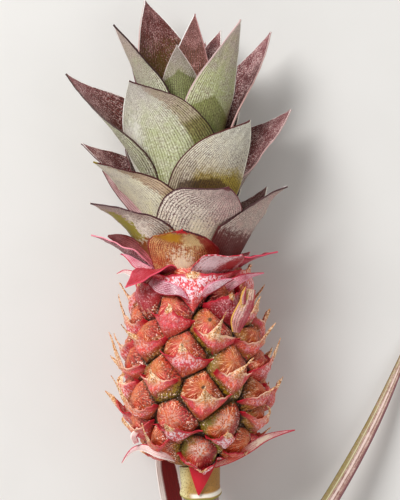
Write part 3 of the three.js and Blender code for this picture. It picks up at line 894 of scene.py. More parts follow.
OUTER_LOOKS = {
    1: dict(
        foot=(190, 60, 18), middle=(178, 72, 20), tip=(144, 36, 36), line=(110, 26, 20),
        bloom=(240, 206, 150), fleck=(240, 212, 150), left=(140, 40, 40), right=(86, 30, 44), bloomed=0.05,
        flecked=0.75, lines=32, strength=0.55, inside=0.7, right_width=1.0, patches=[
            patch((196, 146, 14), (0.24, 0.93), (0.34, 0.36), ragged=1.0, border=0.7, amount=0.95),
            patch((232, 214, 160), (0.68, 0.98), (0.24, 0.5), ragged=1.8, border=0.6, amount=0.6),
            patch((206, 20, 44), (0.42, 1.1), (0.5, 0.22), ragged=1.8),
            patch((246, 232, 206), (0.5, 0.6), (0.2, 0.95), ragged=3.2, border=0.6, amount=0.66, pitch=0.9),
            patch((150, 20, 12), (0.95, 0.86), (0.16, 0.9), ragged=1.0, amount=0.85)]),
    2: dict(
        foot=(224, 206, 160), middle=(196, 164, 150), tip=(186, 132, 136), line=(66, 32, 40),
        left=(240, 230, 214), right=(84, 40, 48), fleck=(98, 50, 50), flecked=0.5, inside=0.7, lines=28,
        patches=[
            patch((244, 236, 222), (0.5, 0.7), (0.4, 0.6), ragged=2.2, border=0.8, amount=0.8),
            patch((160, 150, 6), (0.36, 0.8), (0.24, 0.6), ragged=2.2, amount=0.9),
            patch((150, 76, 22), (0.5, 0.3), (0.5, 0.36), ragged=2.0, amount=0.9)]),
    3: dict(
        foot=(112, 22, 12), middle=(216, 180, 172), tip=(200, 140, 144), line=(70, 24, 32),
        left=(78, 36, 40), right=(232, 220, 196), flecked=0.75, mottle=0.7, bloomed=0.6, turn=0.34,
        inside=0.7, lines=30,
        patches=[patch((96, 12, 6), (0.3, 0.34), (0.8, 0.7), pitch=-0.1, ragged=1.2, amount=0.85)]),
    4: dict(
        foot=(236, 222, 190), middle=(246, 230, 216), tip=(216, 178, 178), line=(56, 18, 30),
        left=(84, 42, 50), right=(130, 60, 70), fleck=(96, 30, 44), flecked=0.8, lines=28, inside=0.6,
        bloomed=0.3, patches=[
            patch((206, 150, 156), (0.9, 1.0), (0.5, 1.4), ragged=1.6, border=0.8, amount=0.35),
            patch((250, 240, 206), (0.56, 0.56), (0.22, 0.8), ragged=1.8, border=0.8, amount=0.5),
            patch((110, 30, 44), (0.6, 1.06), (0.7, 0.12), ragged=1.6, amount=0.8)]),
    5: dict(
        foot=(206, 202, 116), middle=(250, 244, 212), tip=(240, 228, 210), mottle=0.25, line=(96, 50, 42),
        left=(244, 240, 220), right=(96, 22, 26), flecked=0.3, inside=0.35, lines=28, patches=[
            patch((196, 160, 140), (1.0, 1.0), (0.24, 1.4), ragged=1.6, tint=1.0, amount=0.7),
            patch((150, 130, 20), (0.5, 1.05), (1.6, 0.09), ragged=0.5)]),
    6: dict(foot=(140, 90, 88), middle=(168, 122, 120), tip=(186, 140, 140)),
    7: dict(
        foot=(176, 172, 112), middle=(226, 216, 190), tip=(238, 238, 222), line=(70, 34, 30),
        left=(96, 34, 36), right=(236, 232, 216), lines=34, inside=0.55, patches=[
            patch((150, 120, 92), (0.1, 0.6), (0.5, 1.2), ragged=0.8, border=0.6, tint=1.0, amount=0.6),
            # Painted shade: these two tints under a sharp roof darken the blade where the leaf over it shades
            # it.
            patch((214, 198, 96), (0.85, 0.64), (0.62, 1.6), pitch=0.3, ragged=0.24, border=0.2, tint=1.0),
            patch((160, 140, 120), (0.62, 0.46), (0.5, 1.4), pitch=0.3, ragged=0.1, border=0.06, tint=1.0)]),
    8: dict(
        foot=(140, 90, 80), middle=(160, 124, 120), tip=(176, 136, 134), left=(206, 172, 168),
        right=(206, 172, 168)),
    9: dict(
        foot=(134, 144, 48), middle=(190, 196, 148), tip=(220, 212, 204), line=(70, 42, 32),
        left=(240, 238, 230), right=(84, 26, 30), lines=40, inside=0.45, flecked=0.35, bloomed=0.3,
        patches=[
            # Painted shade: a darker tint under a sharp roof, where the leaf over it shades this one.
            patch((200, 200, 152), (1.0, 0.56), (0.24, 1.1), ragged=0.1, border=0.08, tint=1.0),
            patch((214, 184, 168), (0.94, 0.98), (0.2, 0.6), ragged=1.2, tint=1.0, amount=0.6),
            patch((244, 242, 234), (0.08, 0.8), (0.3, 0.8), ragged=1.0, border=0.6, amount=0.6)]),
    10: dict(
        foot=(120, 128, 66), middle=(196, 200, 160), tip=(226, 216, 206), left=(244, 240, 232),
        right=(80, 50, 44), left_width=0.5, right_width=0.35, lines=32, inside=0.7),
    12: dict(
        foot=(136, 156, 62), middle=(192, 200, 138), tip=(206, 180, 172), line=(98, 66, 50),
        left=(214, 188, 184), right=(240, 238, 228), lines=28, inside=0.45, turn=0.5, bloomed=0.3, patches=[
            # Painted shade: a tint under a sharp roof darkens the blade's lower part, where leaves over it
            # shade it.
            patch(
                (198, 200, 158), (0.45, 0.49), (1.2, 1.6), pitch=0.27, ragged=0.06, border=0.03,
                tint=1.0)]),
    13: dict(
        foot=(166, 178, 112), middle=(194, 202, 166), tip=(180, 142, 136), line=(84, 54, 50),
        left=(246, 236, 232), right=(66, 30, 32), lines=26, inside=0.45, left_width=0.7),
    15: dict(
        foot=(140, 152, 70), middle=(152, 150, 104), tip=(108, 78, 72), line=(70, 52, 36),
        left=(206, 190, 184), right=(206, 190, 184), left_width=0.3, right_width=0.3, lines=20, turn=0.5,
        flecked=0.7, patches=[
            # Painted shade: a tint under a sharp roof darkens the blade's lower part, where leaves over it
            # shade it.
            patch((196, 206, 156), (0.5, 0.74), (1.2, 1.6), pitch=0.27, ragged=0.08, border=0.05, tint=1.0)]),
}

INNER_LOOKS = {
    8: dict(
        middle=(118, 62, 64), tip=(154, 98, 102), flecked=0.8, left=(255, 246, 242), right=(255, 246, 242),
        left_width=0.2, right_width=0.2),
    10: dict(
        middle=(118, 60, 50), tip=(160, 84, 88), foot=(112, 88, 20), right=(96, 60, 50), right_width=0.35,
        flecked=0.75),
    11: dict(
        middle=(100, 40, 44), tip=(150, 74, 82), left=(240, 228, 224), right=(240, 228, 224),
        left_width=0.18, right_width=0.18),
    14: dict(
        middle=(98, 28, 26), tip=(116, 28, 32), foot=(124, 100, 8), lines=20, turn=0.95, flecked=0.6,
        fleck=(226, 190, 184),
        patches=[patch((104, 88, 8), (0.5, 0.76), (1.4, 0.7), ragged=2.0, border=0.8, amount=0.75)]),
    16: dict(
        middle=(106, 46, 30), tip=(138, 62, 60), foot=(112, 90, 8), turn=0.95, flecked=0.6, bloomed=0.1,
        fleck=(226, 180, 174), left=(200, 140, 140), left_width=0.2),
}

UNDER_LOOKS = [
    dict(foot=(176, 176, 112), middle=(198, 196, 164), tip=(190, 168, 160)),
    dict(foot=(190, 170, 130), middle=(196, 176, 170), tip=(188, 150, 150), flecked=0.4),
    dict(foot=(158, 172, 100), middle=(190, 192, 154), tip=(196, 180, 170)),
]

FROSTED = dict(
    foot=(170, 14, 24), middle=(190, 40, 52), tip=(206, 60, 84), line=(104, 4, 24), bloom=(240, 200, 206),
    fleck=(252, 232, 232), left=(196, 20, 54), right=(196, 20, 54), lines=18, inside=0.7, bloomed=0.45,
    flecked=0.95, left_width=0.4, right_width=0.5, strength=0.9, mottle=0.8, patches=[
        patch((246, 226, 230), (0.24, 1.0), (0.28, 1.1), ragged=3.2, border=0.6, amount=0.7),
        patch((170, 4, 16), (0.66, 0.9), (0.26, 0.7), ragged=2.0, border=0.5, amount=0.9)])
CRIMSON = dict(
    foot=(166, 12, 30), middle=(196, 10, 40), tip=(206, 24, 60), line=(120, 8, 24), bloom=(226, 100, 124),
    fleck=(246, 190, 200), left=(232, 90, 116), right=(232, 90, 116), lines=14, inside=0.6, bloomed=0.1,
    flecked=0.3, left_width=0.35, right_width=0.35, strength=0.6)
PINK = {**CRIMSON, "middle": (200, 30, 74), "tip": (232, 96, 142), "flecked": 0.6}
DUSKY = dict(
    foot=(96, 14, 14), middle=(128, 34, 40), tip=(216, 92, 120), line=(70, 10, 20), bloom=(190, 110, 124),
    fleck=(244, 216, 218), left=(236, 150, 166), right=(236, 150, 166), lines=16, inside=0.7, bloomed=0.15,
    flecked=0.85, left_width=0.3, right_width=0.3, strength=0.7, turn=0.6)
NECK_LOOKS = {"Frosted bract": FROSTED, "Crimson bract": CRIMSON, "Dusky bract": DUSKY, "Pink neck": PINK}
NECK_OUTSIDES = {1: "Frosted bract", 2: "Dusky bract", 3: "Pink neck", 4: "Dusky bract", 5: "Crimson bract"}

LOOSE_LOOKS = {
    "Pink bract": dict(
        foot=(200, 40, 70), middle=(212, 60, 96), tip=(232, 130, 160), line=(160, 16, 50),
        bloom=(246, 206, 216), fleck=(250, 226, 230), left=(206, 30, 70), right=(232, 150, 170), lines=6,
        inside=0.6, bloomed=0.35, flecked=0.8, left_width=0.35, right_width=0.25, strength=0.6),
    "Pale bract": dict(
        foot=(220, 110, 116), middle=(246, 214, 208), tip=(238, 160, 180), line=(190, 60, 84),
        bloom=(250, 236, 230), fleck=(254, 240, 236), left=(250, 238, 230), right=(206, 60, 90), lines=5,
        inside=0.6, bloomed=0.5, flecked=0.6, left_width=0.3, right_width=0.3, strength=0.6),
    "Papery bract": dict(
        foot=(196, 84, 70), middle=(184, 100, 104), tip=(196, 146, 96), line=(110, 40, 48),
        bloom=(240, 206, 196), fleck=(250, 226, 214), left=(222, 176, 84), right=(180, 70, 84), lines=6,
        inside=0.9, bloomed=0.3, flecked=0.8, left_width=0.45, right_width=0.35, strength=0.95, patches=[
            patch((164, 36, 62), (0.78, 0.8), (0.2, 0.9), ragged=2.0, amount=0.7),
            patch((196, 150, 60), (0.3, 0.98), (0.2, 0.5), ragged=2.0, amount=0.7)]),
    "Frosted tip": dict(
        foot=(190, 24, 60), middle=(196, 84, 116), tip=(220, 120, 150), line=(120, 16, 44),
        bloom=(240, 204, 214), fleck=(254, 240, 242), left=(228, 130, 156), right=(160, 14, 44), lines=8,
        inside=0.9, bloomed=0.4, flecked=1.0, left_width=0.3, right_width=0.4, strength=0.95, mottle=0.8),
    "Spiked bract": dict(
        foot=(206, 76, 30), middle=(222, 120, 100), tip=(222, 60, 110), line=(160, 24, 40),
        bloom=(250, 230, 216), fleck=(252, 232, 226), left=(200, 30, 70), right=(200, 20, 60), lines=5,
        inside=0.6, bloomed=0.3, flecked=0.7, left_width=0.25, right_width=0.35, strength=0.7, patches=[
            patch((246, 226, 206), (0.5, 0.72), (0.4, 0.3), ragged=1.4, border=0.6, amount=0.9),
            patch((206, 60, 16), (0.5, 0.42), (0.6, 0.3), ragged=1.2, border=0.6, amount=0.7)]),
    # The dark sheet at the neck: bract colours darkened as painted shade.
    "Dark bract": dict(
        foot=(96, 12, 8), middle=(136, 22, 20), tip=(206, 76, 96), line=(70, 10, 12), bloom=(180, 90, 96),
        fleck=(226, 160, 160), left=(120, 20, 24), right=(120, 20, 24), lines=8, inside=0.8, bloomed=0.05,
        flecked=0.4, left_width=0.25, right_width=0.2, strength=0.8, turn=0.6),
    "Narrow leaf": dict(
        foot=(150, 92, 80), middle=(172, 120, 120), tip=(190, 140, 140), line=(96, 40, 50),
        bloom=(224, 196, 196), fleck=(236, 210, 208), left=(236, 216, 212), right=(110, 60, 60), lines=8,
        inside=0.9, bloomed=0.3, flecked=0.5, left_width=0.3, right_width=0.3, strength=0.8),
}

RED = dict(
    foot=(116, 2, 6), middle=(122, 2, 6), tip=(130, 8, 12), line=(80, 2, 4), bloom=(134, 14, 18),
    fleck=(126, 20, 22), left=(240, 232, 226), right=(236, 226, 220), lines=10, bloomed=0.02, flecked=0.1,
    left_width=0.7, right_width=2.2, strength=0.4)
MAUVE = dict(
    foot=(140, 100, 76), middle=(158, 108, 96), tip=(158, 124, 84), line=(112, 66, 56),
    bloom=(228, 206, 196), fleck=(236, 214, 206), left=(132, 84, 88), right=(118, 92, 60), lines=5,
    inside=0.8, bloomed=0.3, flecked=0.6, left_width=0.5, right_width=0.35, strength=0.7, patches=[
        patch((150, 138, 72), (0.8, 1.1), (0.26, 2.4), ragged=1.2, border=0.6, amount=0.85),
        patch((226, 222, 190), (0.7, 1.1), (0.05, 2.4), ragged=0.9, amount=0.7),
        patch((234, 214, 206), (0.42, 1.1), (0.09, 2.4), ragged=0.8, amount=0.8)])
STEM_LEAF_LOOKS = {"stem_leaf_left": ("Red stem leaf", RED), "stem_leaf_right": ("Mauve stem leaf", MAUVE)}

HANGING = dict(
    foot=(222, 4, 60), middle=(232, 2, 78), tip=(206, 6, 60), line=(176, 0, 44), bloom=(240, 60, 120),
    fleck=(250, 150, 180), left=(196, 4, 44), right=(196, 4, 44), lines=8, bloomed=0.05, flecked=0.2)


def blade_material(name, look):
    """A leaf's material from its look: the colours are those of the screen."""
    look = {**BLADE_DEFAULTS, **look}
    values = {label: srgb(*look[key]) for label, key in BLADE_COLOURS.items()}
    values.update({label: look[key] for label, key in BLADE_NUMBERS.items()})

    def base(tree):
        across, along = tree.uv("Blade")
        outputs = tree.group("Leaf skin", Across=across, Along=along, Half=tree.measure("half"), **values)
        colour = outputs["Colour"]
        for laid in look["patches"]:
            colour = tree.group("Patch", Colour=colour, Across=across, Along=along, **laid)["Colour"]
        return {"colour": tree.vivid(colour, 1.16), "height": outputs["Height"]}

    return new_material(name, base, roughness=0.58, bump=0.5, depth=0.0002)


# Eyes of the fruit

def eye_places():
    """Azimuth and height of each fruitlet's cell: from the spiral, or where the photograph shows it."""
    places = []
    for index in range(EYE_COUNT):
        low = min(index, EYE_LOW_COUNT)
        height = EYE_FIRST_HEIGHT + EYE_LOW_RISE * low + EYE_RISE * (index - low)
        azimuth = math.radians(EYE_FIRST_AZIMUTH + EYE_DIVERGENCE * index)
        if "top" in SEEN_EYES.get(index, {}):
            azimuth, height = seen_on_fruit(*SEEN_EYES[index]["top"])
            height -= DOME_OVER_CELL
        places.append((azimuth, height))
    return np.array(places)


def seen_at(column, row, up):
    """The place of a picture point, in the plant's own axes, at a height over its middle line."""
    shrink = 1 - up / CAMERA_DISTANCE
    across = (column - PICTURE_MIDDLE[0]) * POINT * shrink + CAMERA_OFFSET[0]
    along = (PICTURE_MIDDLE[1] - row) * POINT * shrink + CAMERA_OFFSET[1]
    side = across * math.cos(LEAN) + along * math.sin(LEAN)
    return np.array([side, along * math.cos(LEAN) - across * math.sin(LEAN), up])


def seen_on_fruit(column, row):
    """Azimuth and height on the fruit of a picture point."""
    azimuth = 0.0
    up = FRUIT_RADIUS
    for _ in range(8):
        side, height, up = seen_at(column, row, up)
        radius = float(barrel_radius(height))
        azimuth = math.asin(max(min(side / radius, 0.999), -0.999))
        up = radius * math.cos(azimuth)
    return azimuth, height


def on_fruit(azimuth, height, rise):
    """Points over the floor of the fruit's grooves, by azimuth, height and distance out."""
    radius = barrel_radius(height) - EYE_DEPTH
    slope = barrel_radius(height + 0.5) - barrel_radius(height - 0.5)
    normal = unit(outward_at(azimuth) - MIDDLE_LINE * slope[..., None])
    surface = outward_at(azimuth) * radius[..., None] + MIDDLE_LINE * height[..., None]
    return surface + normal * np.asarray(rise)[..., None]


class Eye:
    """One fruitlet: its cell among its neighbours, the dome that fills it, its bract and its spine."""

    def __init__(self, index, places, look, dials):
        self.index = index
        self.azimuth, self.height = places[index]
        self.radius = float(barrel_radius(self.height)) - CELL_LEVEL
        slope = float(barrel_radius(self.height + 1) - barrel_radius(self.height - 1)) / 2
        self.foreshortening = 1 / math.sqrt(1 + slope * slope)
        others = [place for number, place in enumerate(places) if number not in EYES_LEFT_OUT + (index,)]
        others = np.array(others)
        turned = np.arctan2(np.sin(others[:, 0] - self.azimuth), np.cos(others[:, 0] - self.azimuth))
        offsets = np.stack([turned * self.radius, (others[:, 1] - self.height) / self.foreshortening], -1)
        self.neighbours = offsets[np.hypot(*offsets.T) < NEIGHBOUR_DISTANCE]
        self.size = min(max(self.radius / EYE_FULL_RADIUS, EYE_LEAST_SIZE), 1.0)
        self.limit = look.get("limit", CELL_LIMIT)
        seen = SEEN_EYES.get(index, {})
        self.foot, self.left, self.right = (
            self.corner(seen.get(name), *limits) for name, limits in BRACT_CORNERS.items())
        self.spine_tip = seen.get("spine")
        self.focus = (dials[0] - 0.5, 2.4 + 0.8 * dials[1])
        self.creases = 4 + int(4 * dials[2])
        self.bulge = look.get("bulge", 0.2)
        self.proud = look.get("proud", 0.0)
        self.brow = look.get("brow", 0.6 * (dials[3] - 0.3))
        self.corner_rise = 0.3 + 0.7 * dials[3]
        self.corner_lift = 0.9 + 0.9 * dials[4]
        self.flare = 0.5 + 0.6 * dials[13]
        self.dip = 0.2 + 0.6 * dials[5]
        self.ragged = 0.14 + 0.12 * dials[1]
        self.keel_rise = look.get("keel", 1.0 + dials[6])
        self.keel_width = 0.2 + 0.1 * dials[10]
        self.spine = sizes().spine_length / MM * look.get("spine", 0.55 + 0.3 * dials[7]) * self.size
        self.spine_width = 0.17 + 0.07 * dials[8]
        self.spine_rise = math.radians(look.get("rise", 36 + 16 * dials[9]))
        self.spine_lean = look.get("lean", 0.7 * (dials[10] - 0.5))
        self.spine_bend = 3.0 * (dials[11] - 0.5)
        self.spine_hook = 3.0 * (dials[12] - 0.5)

    def reach(self, angle):
        """Distance from the cell's middle to its border in a direction."""
        direction = np.stack([np.cos(angle), np.sin(angle)], -1)
        facing = direction @ self.neighbours.T
        squares = (self.neighbours ** 2).sum(-1) / 2
        closeness = np.where(facing > 1e-3, facing / squares, 0)
        closeness = np.concatenate([closeness, np.full((len(closeness), 1), 1 / self.limit)], -1)
        return (closeness ** CELL_ROUNDING).sum(-1) ** (-1 / CELL_ROUNDING)

    def corner(self, seen, first, last, share):
        """A corner of the bract: where the photograph shows it, or the cell's own between two directions."""
        if seen:
            azimuth, height = seen_on_fruit(*seen)
            return np.array(
                [(azimuth - self.azimuth) * self.radius, (height - self.height) / self.foreshortening])
        angles = np.radians(np.linspace(first, last, 60))
        found = self.reach(angles)
        angle = angles[np.argmax(found)]
        return np.array([math.cos(angle), math.sin(angle)]) * found.max() * share

    def dome(self, x, y):
        """Height of the dome over the grooves' floor."""
        angle = np.arctan2(y, x)
        rho = np.clip(np.hypot(x, y) / self.reach(angle), 0, 1)
        rise = sizes().eye_relief / MM
        bowl = rise * (1 - rho ** 3) ** 0.8
        bulge = 0.6 * np.exp(-((x / 4.5) ** 2 + ((y - 2.4) / 3.6) ** 2))
        return (bowl + bulge * (1 - rho ** 4)) * (0.75 + 0.25 * self.size)

    def placed(self, x, y, rise):
        height = self.height + y * self.foreshortening
        azimuth = self.azimuth + x / self.radius
        points = on_fruit(azimuth, height, rise)
        points[:, 2] = np.maximum(points[:, 2], SPINE_FLOOR - MIDDLE_HEIGHT)
        return points


def eye_dome(eye, material):
    """The dome of a fruitlet, from a grid that is rounded out to its cell."""
    piece = new_grid("dome", 20, 20, "Eye")
    flat = coordinates(piece)[:, :2]
    rho = np.abs(flat).max(axis=1) ** 0.9
    angle = np.arctan2(flat[:, 1], flat[:, 0])
    distance = rho * eye.reach(angle) * 1.01
    x = np.cos(angle) * distance
    y = np.sin(angle) * distance
    away_x = x - eye.focus[0]
    away_y = y - eye.focus[1]
    away = np.hypot(away_x, away_y)
    ray = np.arctan2(away_y, away_x)
    points = eye.placed(x, y, eye.dome(x, y))
    pucker = wrinkles(points, DOME_WRINKLES, eye.index)
    creases = 0.3 * np.cos(eye.creases * ray + eye.index) * smooth_step(0.5, 4.0, away)
    creases += 0.1 * np.cos(2.7 * eye.creases * ray + 2 * eye.index) * smooth_step(1.0, 4.0, away)
    rise = eye.dome(x, y) + (pucker + creases) * (1 - rho ** 4) - 0.5 * np.exp(-(away / 0.9) ** 2)
    set_coordinates(piece, to_part(eye.placed(x, y, rise)))
    set_uv(piece, "Eye", np.stack([away_x / EYE_UV_WIDTH + 0.5, away_y / EYE_UV_WIDTH + 0.5], -1))
    set_measure(piece, "edge", rho)
    give_materials(piece, material)
    return piece


def eye_bract(eye, material):
    """The bract of a fruitlet: a shield with two free corners, a V at its foot and a spine on its keel."""
    piece = new_grid("bract", 40, 20, "Eye")
    flat = coordinates(piece)[:, :2]
    u = np.sign(flat[:, 0]) * np.abs(flat[:, 0]) ** 1.5
    v = (flat[:, 1] + 1) / 2
    part = np.abs(u)
    end = np.where((u < 0)[:, None], eye.left, eye.right)
    border = end - eye.foot
    outside = np.stack([border[:, 1], -border[:, 0]], -1) * np.where(u < 0, -1, 1)[:, None]
    low = eye.foot + border * part[:, None] + unit(outside) * (eye.bulge * np.sin(math.pi * part))[:, None]
    brow = (eye.left[1] + eye.right[1]) / 2 + eye.brow
    top_x = eye.focus[0] + (end[:, 0] - eye.focus[0]) * part ** 1.05
    top_y = brow + (end[:, 1] - brow) * part ** 1.7 + eye.corner_rise * part ** 4
    top_y = top_y - eye.dip * np.sin(math.pi * part ** 0.8)
    top_y = top_y + eye.keel_rise * np.exp(-(part / eye.keel_width) ** 2)
    ragged = np.sin(u * 17 + eye.index) + 0.7 * np.sin(u * 31 + 2 * eye.index)
    top_y = top_y + eye.ragged * ragged * (1 - part ** 2)
    x = low[:, 0] + (top_x - low[:, 0]) * v
    y = low[:, 1] + (top_y - low[:, 1]) * v
    local = np.stack([x, y, np.zeros_like(x)], -1)
    keel = 0.9 * np.clip(1 - part / 0.5, 0, 1) ** 1.3 * smooth_step(0.05, 0.6, v)
    flare = eye.flare * v ** 4 + eye.corner_lift * part ** 4 * smooth_step(0.0, 0.8, v)
    rise = np.maximum(eye.dome(x, y), eye.proud) * (0.45 + 0.55 * smooth_step(0.0, 0.35, v))
    rise = rise + 0.3 + 0.3 * v + keel + flare
    crumple = wrinkles(local, BRACT_WRINKLES, eye.index)
    rise = rise + crumple * smooth_step(0.0, 0.3, v) + 0.14 * np.sin(u * 26 + eye.index) * v * part

    # The spine leaves the bract along its keel and ends in a point
    spike = np.clip(1 - part / eye.spine_width, 0, 1) ** 0.8 * smooth_step(0.7, 1.0, v) ** 1.2
    outward = outward_at(np.float64(eye.azimuth))
    around = around_at(np.float64(eye.azimuth))
    direction = outward * math.cos(eye.spine_rise) + MIDDLE_LINE * math.sin(eye.spine_rise)
    shift = unit(direction + around * eye.spine_lean) * eye.spine
    if eye.spine_tip:
        root_x = np.array([eye.focus[0]])
        root_y = np.array([brow + eye.keel_rise])
        root = eye.placed(root_x, root_y, eye.dome(root_x, root_y) + 1.5 + eye.flare)[0]
        column, row, rise_of_tip = eye.spine_tip
        shift = seen_at(column, row, root[2] + rise_of_tip) - root
    bend = (MIDDLE_LINE * eye.spine_bend + around * eye.spine_hook) * (spike * (1 - spike))[:, None]
    axis = eye.placed(np.full_like(x, eye.focus[0]), y, rise)
    points = eye.placed(x, y, rise)
    points = axis + shift * spike[:, None] + bend + (points - axis) * (1 - 0.7 * spike)[:, None]
    points[:, 2] = np.maximum(points[:, 2], SPINE_FLOOR - MIDDLE_HEIGHT + sizes().bract_thickness / MM)
    set_coordinates(piece, to_part(points))
    set_uv(piece, "Eye", np.stack([(u + 1) / 2, v], -1))
    set_measure(piece, "edge", spike)
    give_materials(piece, material, material)
    thicken(piece, sizes().bract_thickness, 1 - 0.4 * v)
    return piece


def add_loose_bract(name, places, material):
    """A thin pointed strip along picture points, each with its height and width."""
    piece = new_grid(name, 6, 28, "Blade")
    flat = coordinates(piece)
    along = (flat[:, 1] + 1) / 2
    knots = np.array([seen_at(column, row, up) for column, row, up, _ in places])
    widths = np.array([place[3] for place in places])
    at = np.linspace(0, 1, len(knots))
    middle = np.stack([soft_curve(along, at, knots[:, axis]) for axis in range(3)], -1)
    ahead = np.stack([soft_curve(along + 0.02, at, knots[:, axis]) for axis in range(3)], -1)
    behind = np.stack([soft_curve(along - 0.02, at, knots[:, axis]) for axis in range(3)], -1)
    run = unit(ahead - behind)
    side = unit(np.cross(run, UPWARD))
    half = soft_curve(along, at, widths) / 2
    points = middle + side * (flat[:, 0] * half)[:, None]
    points[:, 2] -= 0.35 * half * flat[:, 0] ** 2
    points[:, 2] += 0.12 * waves(points, 2.5, len(name)) * half
    set_coordinates(piece, to_part(points))
    set_measure(piece, "half", half)
    give_materials(piece, material, material)
    thicken(piece, LOOSE_BRACT_THICKNESS * MM, 1 - 0.5 * along)
    set_bake_uv(piece, len(flat))
    return finish_piece(piece)


def soft_curve(share, at, values):
    """A curve through values at even steps, rounded over its corners."""
    total = np.zeros_like(share)
    offsets = np.linspace(-0.09, 0.09, 7)
    for offset in offsets:
        total += np.interp(share + offset, at, values)
    ends = np.interp(share, at, values)
    inside = smooth_step(0.0, 0.12, share) * smooth_step(1.0, 0.88, share)
    return ends + (total / len(offsets) - ends) * inside


# Colours of the fruit, the stem and the table

def dome_base(tree):
    """Rind of a fruitlet: pink and orange streaks from the bract's tip, olive at one side, dark scurf, and
    painted shade on its right side and in a band where it drops into the groove.
    """
    x, y = tree.uv("Eye")
    x = tree.swing(x, EYE_UV_WIDTH)
    y = tree.swing(y, EYE_UV_WIDTH)
    away = tree.math("SQRT", tree.plus(tree.times(x, x), tree.times(y, y)))
    ray = tree.math("ARCTAN2", x, y)
    edge = tree.measure("edge")
    place = tree.place()
    cloud = tree.noise(place, 300.0, 3.0, 0.6)
    fine = tree.noise(place, 1500.0, 2.0, 0.6)
    grit = tree.noise(place, 2100.0, 1.0, 0.5)
    wander = tree.times(cloud, 4.0)
    streak = tree.noise(tree.vector(tree.times(ray, 14.0), tree.times(away, 0.4), wander), 1.0, 3.0, 0.6)
    colour = tree.mix(tree.step(streak, 0.38, 0.56), paint("rind"), srgb(222, 112, 44))
    tan = tree.times(tree.step(cloud, 0.35, 0.6), tree.measure("gold"))
    colour = tree.mix(tree.times(tan, 0.8), colour, srgb(206, 138, 58))
    pink = tree.times(tree.step(cloud, 0.6, 0.42), tree.measure("pink"))
    colour = tree.mix(pink, colour, srgb(218, 84, 96))
    blush = tree.times(tree.step(streak, 0.36, 0.52), tree.measure("blush"))
    colour = tree.mix(blush, colour, srgb(150, 20, 44))
    colour = tree.mix(tree.times(tree.step(streak, 0.54, 0.62), 0.85), colour, srgb(166, 28, 32))
    deep = tree.times(tree.step(tree.noise(place, 170.0, 2.0), 0.5, 0.66), tree.step(streak, 0.4, 0.5))
    colour = tree.mix(tree.times(deep, 0.75), colour, srgb(180, 66, 24))
    colour = tree.mix(tree.times(tree.step(streak, 0.45, 0.36), 0.9), colour, srgb(255, 212, 180))
    golden = tree.times(tree.step(away, 3.6, 0.8), 0.3)
    colour = tree.mix(golden, colour, srgb(222, 150, 70))
    slant = tree.minus(tree.times(x, 0.1), tree.times(y, 0.05))
    sideways = tree.plus(slant, tree.times(cloud, 0.7))
    left = tree.times(tree.step(sideways, 0.25, -0.3), tree.measure("olive"))
    colour = tree.mix(tree.times(left, tree.step(edge, 0.2, 0.6)), colour, srgb(134, 118, 6))
    ruby = tree.times(tree.step(sideways, 0.45, 0.75), tree.measure("ruby"))
    colour = tree.mix(tree.times(ruby, 0.85), colour, srgb(176, 14, 40))
    below = tree.times(tree.step(y, -2.0, -5.0), tree.step(edge, 0.5, 0.85))
    below = tree.times(below, tree.times(tree.measure("olive"), 0.85))
    starry = tree.times(tree.step(away, 4.4, 0.6), tree.step(fine, 0.44, 0.56))
    starry = tree.times(starry, tree.times(tree.measure("frost"), 0.4))
    colour = tree.mix(starry, colour, srgb(248, 218, 208))
    # Painted shade: the dome's right side is darkened towards dark red.
    right = tree.times(tree.step(sideways, 0.3, 0.8), tree.step(edge, 0.1, 0.7))
    colour = tree.mix(tree.times(right, 0.4), colour, srgb(126, 38, 34))
    colour = tree.mix(below, colour, srgb(158, 144, 24))
    # Dark scurf specks crowd on that shaded right side and near the cell's edge, which deepens the painted
    # shade there.
    rim = tree.math("MAXIMUM", right, tree.times(tree.step(edge, 0.55, 0.9), 0.7))
    scurf = tree.times(tree.plus(0.1, tree.times(rim, 0.6)), tree.step(fine, 0.5, 0.58))
    colour = tree.mix(scurf, colour, srgb(104, 46, 34))
    crowd = tree.times(tree.step(cloud, 0.4, 0.6), tree.plus(0.12, tree.times(rim, 0.9)))
    white = tree.times(tree.step(grit, 0.57, 0.66), crowd)
    colour = tree.mix(white, colour, srgb(255, 232, 222))
    pit = tree.step(tree.plus(away, tree.times(fine, 0.9)), 1.25, 0.75)
    colour = tree.mix(tree.times(pit, tree.measure("pit")), colour, srgb(92, 74, 56))
    # Dark scurf and painted shade in a band round the dome's edge, where it drops into the groove.
    ragged = tree.plus(edge, tree.swing(fine, 0.25))
    groove = tree.step(ragged, 0.86, 0.99)
    mossy = tree.times(tree.step(cloud, 0.42, 0.58), tree.measure("olive"))
    dark = tree.mix(mossy, paint("groove"), srgb(98, 84, 10))
    outputs = tree.group("Scurf", Colour=colour, Dark=dark, Mask=groove)
    height = tree.plus(tree.times(fine, 0.8), tree.times(outputs["Height"], groove))
    height = tree.plus(height, tree.times(streak, 0.8))
    return {"colour": tree.vivid(outputs["Colour"], 1.3), "height": height}


